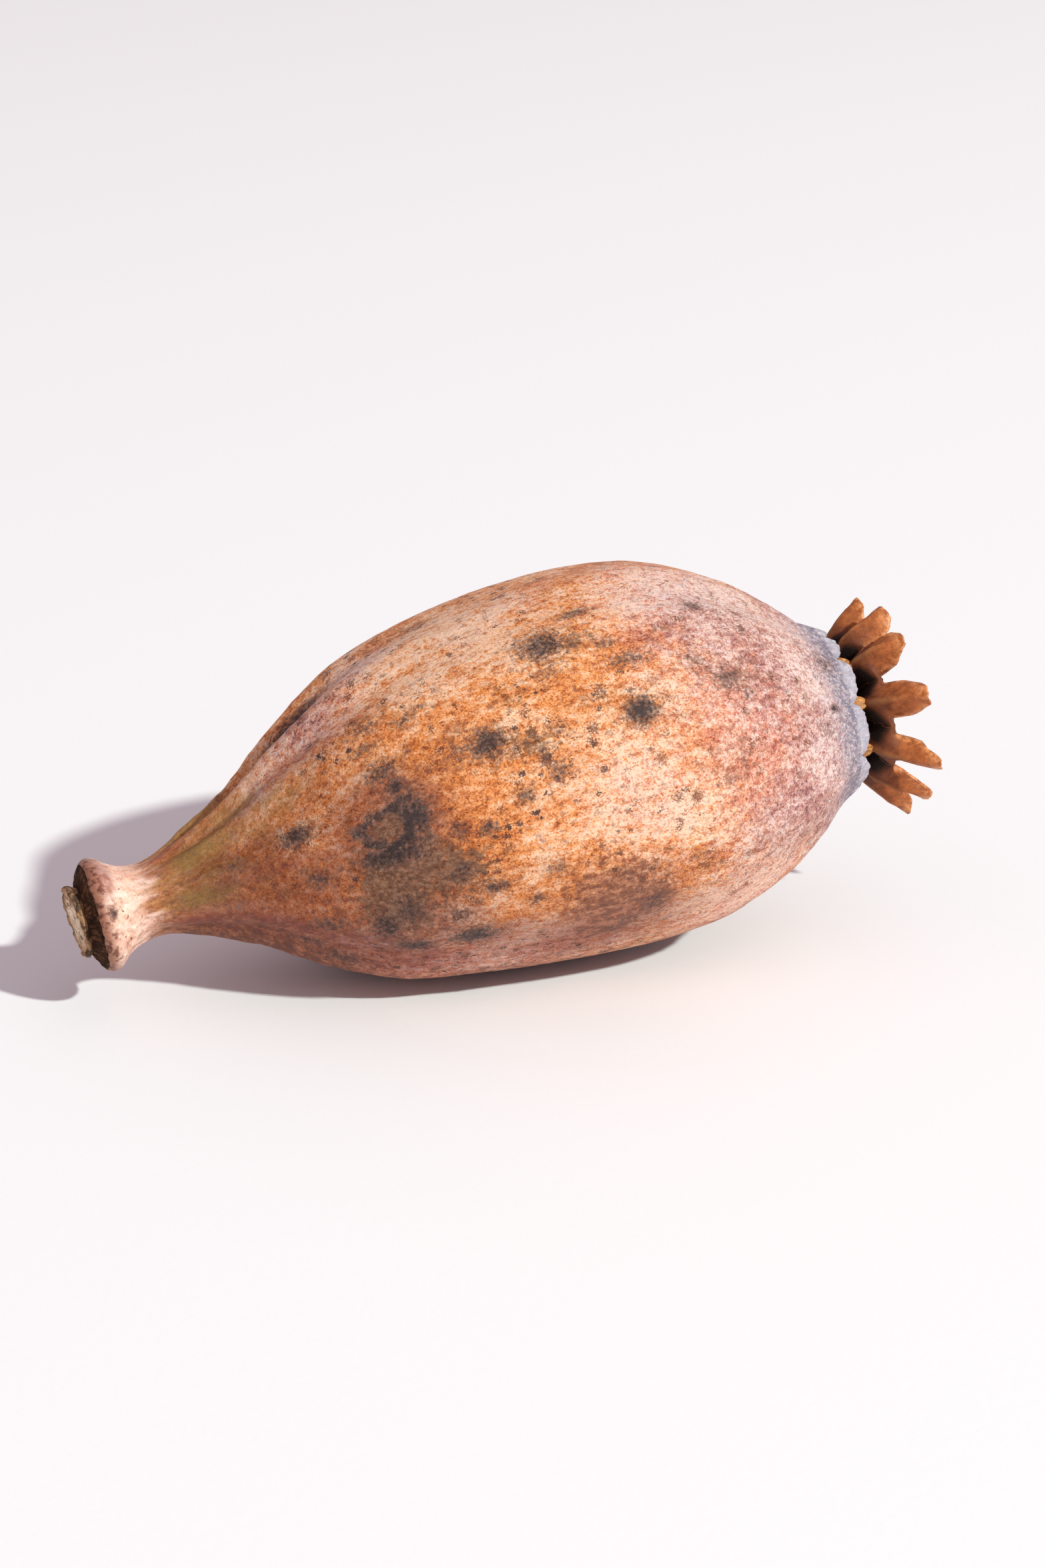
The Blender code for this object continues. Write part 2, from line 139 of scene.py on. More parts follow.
# The camera and the key light: where they aim in the frame, and from where
AIM = Vector((1.552 * MM, -0.57 * MM, 17.03 * MM))
CAMERA_DISTANCE = 326.1 * MM
CAMERA_AZIMUTH = math.radians(-17.8)
CAMERA_ELEVATION = math.radians(22.1)
CAMERA_LENS = 82.76
KEY_AZIMUTH = math.radians(-54.2)
KEY_ELEVATION = math.radians(37.1)
KEY_DISTANCE = 3.0
KEY_COLOUR = (0.92, 1.0, 0.94)
FLOOR_HALF = 3.0

# Soft oval marks on the skin, for each field: distance along in mm, angle round in degrees, half-length and
# half-width in mm, and strength
MARKS = {
    "mould": """
        41.7 118 1.9 1.5 0.75, 41.3 127 1.2 0.7 0.45, 48 145 1.3 1.1 1, 34.4 142 1.5 1.2 0.85, 48.4 129 1.7 0.6 0.6,
        45.8 109 1.4 0.5 0.6, 40.5 144 0.8 0.6 0.5, 39.5 156 0.9 0.8 0.6, 36.1 160 0.8 0.6 0.7, 17.3 148 1.3 0.8 0.8,
        25.9 145 0.6 0.6 0.95, 25.2 138 1.2 1 0.6, 25.2 120 1.6 0.9 0.45, 32.1 135 1 0.7 0.4, 29.4 123 1.1 0.6 0.4,
        31.5 142 1.3 1 0.45, 0.85 157 0.32 0.5 0.95, 24.8 189 1.1 0.9 0.7, 22.7 195 1 1.2 0.75, 30 203 1.8 1 0.85,
        24.9 207 1.7 0.8 0.75, 18.3 172 0.9 0.8 0.6, 18.3 196 1.1 0.6 0.6, 16.9 215 1 0.5 0.55, 19.4 223 1.4 0.7 0.55,
        32.1 185 1.2 0.5 0.75, 29.9 164 0.7 0.6 0.55, 32.5 166 0.8 0.5 0.65, 28.8 193 0.9 0.7 0.6,
        35.5 192 0.7 0.5 0.65, 37.6 183 0.9 0.6 0.55, 50.6 192 0.9 0.6 0.4, 57 140 1.2 0.9 0.6, 54.3 133 0.8 0.7 0.45,
        52.5 121 0.8 0.5 0.4, 58.5 146 0.5 0.5 0.55, 56.5 112 0.9 0.6 0.6, 51.5 149 0.8 0.5 0.4,
        66.4 166 0.6 0.8 0.45, 67.8 156 0.4 0.3 0.9, 68.6 128 1 0.8 0.5, 44.7 138 1.6 0.7 0.35, 20.5 76 2.6 0.9 0.95,
        17.6 79 2.2 0.6 0.8, 24.6 167 2.2 0.9 0.85, 22.9 167 1.1 0.9 0.75, 26.8 156 1.1 1.3 0.95,
        26.2 150 0.9 0.6 0.8, 26.4 164 0.8 0.8 0.6, 29.6 178 0.8 1 0.6, 24.6 186 0.9 0.7 0.55, 40.2 119 1.2 0.8 0.5,
        47 123 1 0.5 0.5, 38.8 151 0.7 0.5 0.5, 46 205 1 0.9 0.55, 43.4 212 1 0.6 0.4, 28.3 125 1 0.5 0.5,
        24.4 128 1.2 0.5 0.5, 12 152 0.9 0.5 0.4, 49 262 1.6 1.3 0.8, 36 300 1.9 1.4 0.7, 27 20 2 1.3 0.8,
        44 340 1.3 1.7 0.85, 52 15 1.3 1 0.8, 39 45 1.7 1.1 0.75, 56 320 1.2 0.8 0.6, 30 245 1.5 0.9 0.7,
        60 60 1.2 0.8 0.6, 22 285 1.4 0.8 0.6, 33.5 80 1.3 0.8 0.5, 19.5 330 1.2 0.7 0.7
    """,
    "crust": """
        24 180 2.4 3.4 0.95, 27 176 2.6 2.6 0.8, 29.6 177 2 1.8 0.8, 26.5 166 2.2 1.2 0.6, 44.6 120 1.6 0.8 0.55,
        38 146 1.9 1.1 0.6, 37.4 131 1.4 1 0.4, 40 310 3.2 2.3 0.8, 26 55 2.8 2 0.7
    """,
    # Brown patches; the three long ones at 272° round are painted shade on the underside
    "bruise_and_underside_shade": """
        22 272 12 7 1.4, 34 272 12 7.5 1.4, 47 272 12 7 1.4, 42.6 198 3.8 3.2 0.95, 46 203 1.9 2.4 1,
        41.6 212 3 1.6 0.95, 40.2 192 2.2 1.6 0.8, 44 190 2.4 1.2 0.8, 26 192 4.5 3 0.6, 20 190 3 3 0.45,
        55.5 165 2.6 2.8 0.5, 57.5 138 3.4 1.6 0.55, 26 148 2.6 3.2 0.55, 33 235 6.5 2.4 0.5, 46 285 5 3 0.7,
        35 0 4 3.2 0.7, 52 50 4 2.6 0.6
    """,
    # Pale marks; those round 42 to 51 mm along and 160 to 185° round, on the lit near side, are partly painted
    # highlight
    "pale": """
        30.5 98 5 4 1.1, 36.5 100 4 4.5 1.1, 30.5 113 4.5 2.8 1.1, 36.5 84 3.5 3 0.7, 46 161 3.6 3.4 0.7,
        48 171 4.5 3.6 0.85, 42.5 171 3 3 0.8, 41.5 150 2.4 2 0.35, 51 184 3.5 2.6 0.6, 55.5 223 4.5 2 0.95,
        37 172 2.6 2 0.55, 44 105 5 2.6 0.45, 50 108 6 6 0.6, 51 120 3 3 0.5, 56 155 3 2.6 0.4, 34 185 3 1.8 0.4,
        45 232 6 2.2 0.5, 35 290 5 3.5 0.7, 48 320 5 3 0.7, 42 20 5 3.5 0.8, 30 50 4 2.5 0.6, 52 265 4 3 0.6,
        55 350 3 3 0.5, 49 60 4 3 0.6, 51.7 207 2.6 2.4 0.9, 35.2 206 2.6 1.6 0.8
    """,
    "deep": """
        29.5 146 4.5 3.6 0.9, 27 131 3.5 3 0.8, 33.5 150 3.6 2.4 0.75, 36 130 4 1.8 0.75, 42 130 4 1.2 0.7,
        46.5 115 3.5 1.6 0.6, 48.6 128 3.5 1.4 0.6, 31.5 163 3 2.2 0.75, 37.7 149 2.6 1.4 0.6, 35.7 159 2.6 1.2 0.6,
        42 139 2.2 1.6 0.6, 22 120 4 2.6 0.55, 20 140 4 3 0.6, 47 97 4 1.6 0.5, 24 188 5 3.5 0.6, 38 192 4 2 0.45,
        52.5 200 3 2 0.5, 57.5 193 3 1.6 0.4, 26 150 5 5 0.5, 30 265 5 3 0.7, 42 345 4 3.5 0.7, 37 0 5 3 0.6,
        55 25 3 3 0.5, 24 305 4 2.6 0.6, 45 255 3.5 2.4 0.5, 38 62 3 2.4 0.6, 41.6 152 2.6 2.6 1.1, 42.8 141 3.2 3 1,
        46.3 146 3.4 2.8 0.8, 51.5 133 3 2.6 0.55
    """,
    "pink": """
        47.5 167 6 5 0.6, 44 95 8 5 0.3, 54 105 6 8 0.7, 58 155 6 9 0.9, 62 175 5 6 0.8, 56 225 7 5 0.8,
        30 225 12 4.5 0.8, 36 105 7 4.5 0.25, 48 180 5 4 0.4, 22 100 6 3.5 0.5, 52 130 4 5 0.5, 18 215 6 3 0.6,
        40 300 12 8 0.6, 50 40 8 6 0.5, 38 255 10 5 0.6
    """,
    "haze": """
        21 98 3.6 3.2 0.75, 26.5 84 4 2.6 0.7, 16.5 106 3 2.2 0.6, 58 115 6 6 0.95, 63 128 3.5 6 0.85,
        56.5 108 4 3.6 0.6, 60 194 6 4.2 0.9, 58.5 204 4 2 0.6, 64 165 3 5 0.6, 60 146 4 5 0.6, 28 222 9 2.4 0.3,
        44 222 6 1.8 0.35, 54.5 142 2 3 0.4, 40 96 5 1.6 0.35, 22 208 4 2 0.45, 62 300 5 7 0.7, 62 20 5 7 0.7,
        25 30 6 4 0.5, 24 290 6 4 0.5
    """,
    "olive": """
        9 122 3.5 1.2 0.8, 13.5 108 3.5 1.2 0.55, 8.8 171 2.4 0.9 0.9, 10.5 150 2.6 0.7 0.5, 17 125 4 1.6 0.5,
        9.5 60 3.5 1.5 0.8, 9.5 320 3.5 1.5 0.8, 9.5 260 3 1.2 0.6
    """,
    # Darker, multiplied marks: the dark crest end and the ring blotch, and painted shade on the lower near side and on
    # the underside, where the pod shades itself and the floor
    "dark_marks_and_painted_shade": """
        24.5 158 3.8 3.4 1.6, 0.5 108 1.1 2.2 1.1, 26 177 4.5 4 0.9, 21 166 3 3 0.9, 13 160 6 3 0.8, 17 180 6 4 0.9,
        24 195 7 4 1.05, 32 206 8 3 0.85, 14 200 6 3 1.1, 22 215 8 3 1.05, 41 212 8 3.8 1.1, 50 212 6 2.8 0.45,
        20 163 5 3 0.6, 35 190 5 3 0.4, 46 196 5 2.5 0.5, 12 118 5 2 0.5, 19.5 135 3.2 2.8 0.54,
        20.2 116 3.5 2.6 0.45, 18.7 152 3 2.5 0.45, 22 272 12 7 1.5, 34 272 12 7.5 1.5, 47 272 12 7 1.5,
        26 330 7 4 0.5
    """,
    "blush": """
        9 199 3 0.7 0.9, 13.5 198 4 0.8 0.85, 19 203 5 1 0.6, 12 215 4 1 0.7, 5.6 118 1.4 0.6 0.55, 7 95 2.4 0.5 0.6,
        12 184 3 0.4 0.5, 8 240 4 1.2 0.6, 16.5 160 4 0.6 0.5, 13 140 3 0.4 0.4
    """,
}
# The ring-shaped blotch, placed in the same way
RING_BLOTCH = (24.3, 157.5, 1.9, 1.5)
# The tint multiplied into the dark marks and the painted shade
DARK_MARK_AND_SHADE_TINT = (0.45, 0.33, 0.36, 1.0)


def srgb(red, green, blue):
    """A colour given as it looks on screen, 0 to 255, as Blender's linear RGBA."""
    levels = (level / 255 for level in (red, green, blue))
    return tuple(level / 12.92 if level < 0.043 else ((level + 0.055) / 1.055) ** 2.4 for level in levels) + (1.0,)


def colour_property(name, description, default):
    return FloatVectorProperty(
        name=name, description=description, default=default, size=4, min=0.0, max=1.0, subtype="COLOR"
    )


def length_property(name, description, default):
    return FloatProperty(name=name, description=description, default=default, unit="LENGTH", min=0.0)


class SkinSettings(bpy.types.PropertyGroup):
    """Colours and grain of the pod's skin."""

    orange: colour_property("Orange", "Main colour of the ripe skin", srgb(224, 133, 58))
    tan: colour_property("Tan", "Lighter skin between the streaks", srgb(238, 164, 108))
    cream: colour_property("Cream", "Palest streaks and the neck", srgb(248, 204, 170))
    bloom: colour_property("Bloom", "Waxy bloom near the crown", srgb(182, 152, 152))
    rim: colour_property("Rim", "Blue-grey bloom on the valves", srgb(156, 148, 160))
    mould: colour_property("Mould", "Dark marks", srgb(74, 57, 55))
    crust: colour_property("Crust", "Grey crusty patches", srgb(112, 78, 58))
    bruise_and_underside_shade: colour_property("Bruise", "Brown patches", srgb(112, 64, 48))
    blush: colour_property("Blush", "Red streaks on the neck's side", srgb(158, 74, 64))
    olive: colour_property("Olive", "Green-brown shoulder of the neck", srgb(150, 118, 58))
    scar: colour_property("Scar", "Dark band round the stalk", srgb(64, 38, 22))
    wrinkle: length_property("Wrinkle", "Depth of the fine wrinkles", 0.07 * MM)


class CrownSettings(bpy.types.PropertyGroup):
    """Colours and detail of the stigma crown and what carries it."""

    brown: colour_property("Brown", "Main colour of the rays", srgb(106, 46, 12))
    # The rays' paler tips and keels, partly their own colour and partly painted light
    light: colour_property("Light", "Worn tips and keels", srgb(204, 116, 58))
    # Near black: painted shade in the folds and pores between the rays, and the dark of the ridge grains
    dark: colour_property("Dark", "Folds between the rays", srgb(20, 10, 6))
    strut: colour_property("Strut", "Golden ends of the partitions", srgb(206, 138, 70))
    papillae: IntProperty(
        name="Papillae", description="Velvety grains along each ray's ridge", default=64, min=0, max=200
    )
    papilla_size: length_property("Papilla size", "Radius of one grain", 0.085 * MM)


class StalkSettings(bpy.types.PropertyGroup):
    """Colours and detail of the broken stalk end."""

    pith: colour_property("Pith", "Dry pith and torn rind", srgb(226, 194, 162))
    # Dark outer rind, also laid into the hollows of the stalk's relief as painted shade
    rind: colour_property("Rind", "Dark outer rind", srgb(92, 66, 38))
    fibres: IntProperty(name="Fibres", description="Torn fibre ends on the break", default=150, min=0, max=400)
    fibre_length: length_property("Fibre length", "Length of one fibre end", 0.22 * MM)


class StageSettings(bpy.types.PropertyGroup):
    """The studio."""

    floor: colour_property("Floor", "Colour of the floor", (0.88, 0.86, 0.87, 1.0))
    key: FloatProperty(name="Key light", description="Power of the key light", default=98.0, unit="POWER")
    key_size: length_property("Key size", "Width of the key light", 0.1375)
    fill: FloatProperty(name="Fill", description="Strength of the light from all round", default=0.505)
    fill_colour: colour_property("Fill colour", "Colour of the light from all round", (1.0, 0.86, 0.945, 1.0))


# ---------------------------------------------------------------- shapes


def smooth_between(low, high, value):
    """0 below low, 1 above high, with an even S in between."""
    t = np.clip((np.asarray(value, dtype=float) - low) / (high - low), 0.0, 1.0)
    return t * t * (3 - 2 * t)


def hump(x, rise, top, fall, end):
    """1 from top to fall and 0 outside rise and end, which are distances along in mm."""
    return smooth_between(rise * MM, top * MM, x) * (1 - smooth_between(fall * MM, end * MM, x))


def curve_at(stations, position):
    """Points at positions counted in stations, on a smooth curve through them."""
    stations = np.asarray(stations, dtype=float)
    last = len(stations) - 1
    position = np.clip(np.asarray(position, dtype=float), 0.0, last)
    i = np.minimum(position.astype(int), last - 1)
    t = (position - i)[..., None]
    a, b, c, d = (stations[np.clip(i + k, 0, last)] for k in (-1, 0, 1, 2))
    return 0.5 * (2 * b + (c - a) * t + (2 * a - 5 * b + 4 * c - d) * t**2 + (3 * b - a - 3 * c + d) * t**3)


WALL_CURVE = curve_at(WALL_OUTLINE, np.linspace(0, len(WALL_OUTLINE) - 1, 1900)) * MM


def outline_radius(x):
    """The wall's mean radius at a distance along the pod."""
    return np.interp(x, WALL_CURVE[:, 0], WALL_CURVE[:, 1])


def turn_from(start, angle):
    """How far angles are turned from a start, the shorter way round."""
    return (angle - start + np.pi) % math.tau - np.pi


def axis_at(x):
    """How far to the side and up the bent axis lies, at a distance along it."""
    bow = np.sin(np.pi * np.clip(x / RIM_X, 0, 1) ** 1.25)
    return BEND_SIDE * bow, BEND_UP * bow - CROWN_DROOP * np.maximum(x - RIM_X, 0)


def around(angle, x, radius):
    """Points at angles and radii round the bent axis."""
    angle, x, radius = np.broadcast_arrays(angle, x, radius)
    side, up = axis_at(x)
    return np.stack([x, side + radius * np.cos(angle), up + radius * np.sin(angle)], axis=-1)


def settle(points):
    """Takes points from growth coordinates to the frame, where the head lies on its belly."""
    sine, cosine = math.sin(REST_TILT), math.cos(REST_TILT)
    points = np.asarray(points, dtype=float).reshape(-1, 3)
    x = cosine * points[:, 0] - sine * points[:, 2] + GROWTH_START[0]
    z = sine * points[:, 0] + cosine * points[:, 2] + GROWTH_START[2]
    return np.stack([x, points[:, 1] + GROWTH_START[1], z], axis=-1)


def sector_angles(sides):
    """Angles all round, and each one's share of the way from one ray to the next."""
    share = np.arange(sides) / sides
    spans = (np.roll(RAY_ANGLES, -1) - RAY_ANGLES) % math.tau
    angles = RAY_ANGLES[:, None] + spans[:, None] * share
    return angles.ravel(), np.tile(share, RAY_COUNT)


def grain(points, scale, depth=4):
    """Cloudy noise at points, about -1 to 1, with scale in waves per millimetre."""
    flat = np.asarray(points, dtype=float).reshape(-1, 3) / MM * scale
    values = [noise.fractal(Vector(p), 1.0, 2.0, depth) for p in flat.tolist()]
    return np.array(values).reshape(np.shape(points)[:-1])


def lattice_faces(rows, columns):
    """Quads over rows of points, each row wrapping round."""
    row, here = np.meshgrid(np.arange(rows - 1) * columns, np.arange(columns), indexing="ij")
    ahead = (here + 1) % columns
    return np.stack([row + here, row + ahead, row + columns + ahead, row + columns + here], -1).reshape(-1, 4)


def capped_lattice(rings, pole, at_end):
    """Points and faces over rings, closed by a fan to a pole past the last ring or before the first."""
    rows, columns = rings.shape[:2]
    points = np.vstack([rings.reshape(-1, 3), [pole]])
    here = np.arange(columns) + (rows - 1) * columns * at_end
    ahead = np.roll(here, -1)
    middle = np.full(columns, len(points) - 1)
    fan = np.stack([here, ahead, middle, middle] if at_end else [ahead, here, middle, middle], -1)
    return points, np.vstack([lattice_faces(rows, columns), fan])


def add_mesh(name, points, faces=(), fields=None):
    """An object with a new mesh. Triangles may repeat their last corner; fields are values on the points."""
    mesh = bpy.data.meshes.new(name)
    mesh.from_pydata(np.asarray(points).tolist(), [], [tuple(dict.fromkeys(face)) for face in faces])
    mesh.validate()
    for label, values in (fields or {}).items():
        values = np.asarray(values, dtype=float)
        kind, member = ("FLOAT_VECTOR", "vector") if values.ndim == 2 else ("FLOAT", "value")
        mesh.attributes.new(label, kind, "POINT").data.foreach_set(member, values.ravel())
    return add_object(name, mesh)


def add_object(name, data):
    thing = bpy.data.objects.new(name, data)
    bpy.context.scene.collection.objects.link(thing)
    return thing


def add_piece(name, points, faces, fields, weld=0.001 * MM, fill=False):
    """A piece laid down in the frame, with the points that meet welded, and the holes that stay filled if asked."""
    placed = settle(points)
    placed[:, 2] = np.maximum(placed[:, 2], 0.0)
    piece = add_mesh(name, placed, faces.tolist(), fields)
    form = bmesh.new()
    form.from_mesh(piece.data)
    bmesh.ops.remove_doubles(form, verts=form.verts, dist=weld)
    if fill:
        bmesh.ops.holes_fill(form, edges=[edge for edge in form.edges if len(edge.link_faces) == 1], sides=0)
    bmesh.ops.recalc_face_normals(form, faces=form.faces)
    form.to_mesh(piece.data)
    form.free()
    piece.data.shade_smooth()
    return piece


def enrol(piece, node=None):
    """Hangs a finished piece on the root body, and hides the solid it stands for if one is named."""
    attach(piece, "root")
    if node:
        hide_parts(node)


# ---------------------------------------------------------------- pod


def surface_relief(x, angle, share):
    """Ribs over the partitions, broad dents of drying, and one deep furrow by the neck."""
    near_mouth = smooth_between(52 * MM, 64 * MM, x)
    rib = (0.12 + 0.3 * hump(x, 5, 12, 20, 36) + 0.14 * near_mouth) * smooth_between(3 * MM, 9 * MM, x)
    dent = (
        0.22 * np.sin(2 * angle + 0.5 + 55 * x)
        + 0.16 * np.sin(3 * angle + 2.1 - 90 * x)
        + 0.1 * np.sin(5 * angle + 4.0 + 160 * x)
    )
    furrow = np.exp(-((turn_from(FURROW_ANGLE, angle) / FURROW_WIDTH) ** 2)) * hump(x, 9, 16, 20, 29)
    return (rib * np.cos(math.tau * share) + dent * hump(x, 10, 24, 58, 69)) * MM - FURROW_DEPTH * furrow


def fine_relief(x, angle, share, radius, depth):
    """Wrinkles that run along the pod, pimples, and a thin seam over each partition near the mouth."""
    unrolled = np.stack([x, radius * np.cos(angle), radius * np.sin(angle)], -1)
    streak = grain(unrolled * (0.22, 1, 1), 0.9, 5)
    pimple = grain(unrolled, 1.4, 3)
    shoulder = hump(x, 4, 8, 14, 24)
    seam = np.exp(-((np.minimum(share, 1 - share) / 0.07) ** 2)) * smooth_between(54 * MM, 66 * MM, x)
    pleat = grain(unrolled * (0.08, 1, 1), 1.1, 3)
    return depth * (streak + 0.45 * pimple + 1.6 * shoulder * pleat) - SEAM_DEPTH * seam


def valve(share):
    """The scalloped edge of the mouth: 0 at a strut, 1 in the middle of a valve."""
    return np.abs(np.sin(np.pi * share)) ** 0.7


def even_stations(outline, rows, crowding):
    """Row positions along an outline, even by length and closer where crowding is high."""
    fine = np.linspace(0, len(outline) - 1, 4000)
    points = curve_at(outline, fine)
    steps = np.hypot(*np.diff(points, axis=0).T) * crowding(points[1:, 0])
    length = np.concatenate([[0], np.cumsum(steps)])
    return np.interp(np.linspace(0, length[-1], rows), length, fine)


def pod_rings(skin, sides=30, rows=190):
    """Rings from the middle of the scar, out over its rim and along the wall, then down inside the mouth.

    With them come the angles, their shares of the way from ray to ray, and what each ring is a part of."""
    angle, share = sector_angles(sides)
    outline = SCAR_OUTLINE + WALL_OUTLINE
    stations = even_stations(outline, rows, lambda x: 1 + 2.2 * (x < 4) + 1.6 * (x > 62))
    lip = valve(share) + VALVE_RAGGED * grain(around(angle, RIM_X, MOUTH_RADIUS), 1.3, 5)
    rings, parts = [], []
    for station, (x, radius) in zip(stations, curve_at(outline, stations) * MM):
        on_scar = station < len(SCAR_OUTLINE) - 0.6
        mouth = 0.0 if on_scar else smooth_between(RIM_X - VALVE_DEPTH, RIM_X, x)
        bump = 0.0 if on_scar else surface_relief(x, angle, share)
        fine = fine_relief(np.full_like(angle, x), angle, share, radius, skin.wrinkle)
        ease = smooth_between(0, 2.5 * MM, radius)
        ring = around(angle, x, radius + bump + fine * ease + VALVE_FLARE * (mouth * lip))
        ring[:, 0] += VALVE_LENGTH * (mouth * lip)
        if on_scar:
            ring[:, 0] += SCAR_ROUGHNESS * grain(around(angle, x, radius), 0.8, 4) * ease
        rings.append(ring)
        parts.append((on_scar, mouth, False))
    for place, (depth, wall) in enumerate(INNER_WALL):
        x = RIM_X - max(depth, 0.0) * MM
        mouth = 1 - smooth_between(0, VALVE_DEPTH / MM, depth)
        closing = smooth_between(HOLLOW_START, HOLLOW_START + HOLLOW_TAPER, x)
        radius = (outline_radius(x) - wall * MM) * (0.35 + 0.65 * closing)
        ring = around(angle, x, radius + surface_relief(x, angle, share) + VALVE_FLARE * lip * mouth)
        ring[:, 0] += (VALVE_LENGTH * lip - min(depth, 0.0) * MM * 0.3) * mouth
        rings.append(ring)
        parts.append((False, mouth, place >= LIP_RINGS))
    return np.array(rings), angle, share, dict(zip(("scar", "edge", "inside"), np.array(parts, dtype=float).T))


def mark_field(marks, x, angle, radius):
    """How strongly each place lies within a table of marks."""
    total = np.zeros_like(x)
    for mark in marks.split(","):
        along, degrees, half_length, half_width, strength = map(float, mark.split())
        aside = turn_from(math.radians(degrees), angle) * radius / MM / half_width
        total = np.maximum(total, strength * np.exp(-0.55 * (((x / MM - along) / half_length) ** 2 + aside**2)))
    return total


def ring_field(x, angle, radius):
    """The broken dark ring of the big blotch, and the crust it encloses."""
    along, degrees, half_length, half_width = RING_BLOTCH
    ahead = (x / MM - along) / half_length
    aside = turn_from(math.radians(degrees), angle) * radius / MM / half_width
    bearing = np.arctan2(aside, ahead)
    away = np.hypot(ahead, aside) * (1 + 0.13 * np.sin(3 * bearing + 1) + 0.09 * np.sin(7 * bearing))
    strength = 0.88 + 0.12 * np.cos(bearing - 0.6)
    return strength * np.exp(-(((away - 1) / 0.36) ** 2)), np.exp(-((away / 0.8) ** 4))


class SEEDHEAD_OT_pod(bpy.types.Operator):
    """Shape the pod's wall, its scar rim and its scalloped mouth, and give it its skin"""

    bl_idname = "seedhead.pod"
    bl_label = "Pod"

    def execute(self, context):
        skin = context.scene.seedhead_skin
        rings, angle, share, parts = pod_rings(skin)
        x = rings[..., 0]
        angles = np.broadcast_to(angle, x.shape)
        radius = outline_radius(x)
        fields = {label: mark_field(marks, x, angles, radius) for label, marks in MARKS.items()}
        ring, within = ring_field(x, angles, radius)
        fields["tone"] = fields.pop("pale") - 0.75 * fields.pop("deep")
        fields["haze"] = np.maximum(fields["haze"], smooth_between(60 * MM, 67.5 * MM, x))
        fields["mould"] = np.maximum(fields["mould"], ring)
        fields["crust"] = np.maximum(fields["crust"], 0.75 * within)
        fields["seam"] = np.broadcast_to(np.minimum(share, 1 - share), x.shape)
        for label, values in parts.items():
            fields[label] = np.broadcast_to(values[:, None], x.shape)
        fields = {label: np.append(values, values[-1, -1]) for label, values in fields.items()}
        unrolled = np.stack([x, radius * np.cos(angles), radius * np.sin(angles)], -1).reshape(-1, 3)
        fields["growth"] = np.vstack([unrolled, [HOLLOW_START, 0, 0]]) / MM
        points, faces = capped_lattice(rings, rings[-1].mean(axis=0), at_end=True)
        pod = add_piece("pod", points, faces[:, ::-1], fields)
        pod.data.materials.append(skin_material(skin))
        pod.data.materials.append(scar_material(skin))
        on_scar = np.empty(len(pod.data.vertices))
        pod.data.attributes["scar"].data.foreach_get("value", on_scar)
        for face in pod.data.polygons:
            face.material_index = int(on_scar[list(face.vertices)].min() > 0.5)
        enrol(pod, "capsule")
        return {"FINISHED"}


# ---------------------------------------------------------------- crown


def keel_point(position):
    """Distance from the axis and height over the mouth, on the keel of a ray."""
    radius, height = np.moveaxis(curve_at(RAY_KEEL, position) * MM, -1, 0)
    return radius, height


def keel_normal(position):
    """The direction across a ray's blade, towards the inside of the crown, as (outward, along)."""
    position = np.clip(position, 0.05, len(RAY_KEEL) - 1.05)
    (r0, h0), (r1, h1) = keel_point(position - 0.05), keel_point(position + 0.05)
    length = np.hypot(r1 - r0, h1 - h0)
    return -(h1 - h0) / length, (r1 - r0) / length


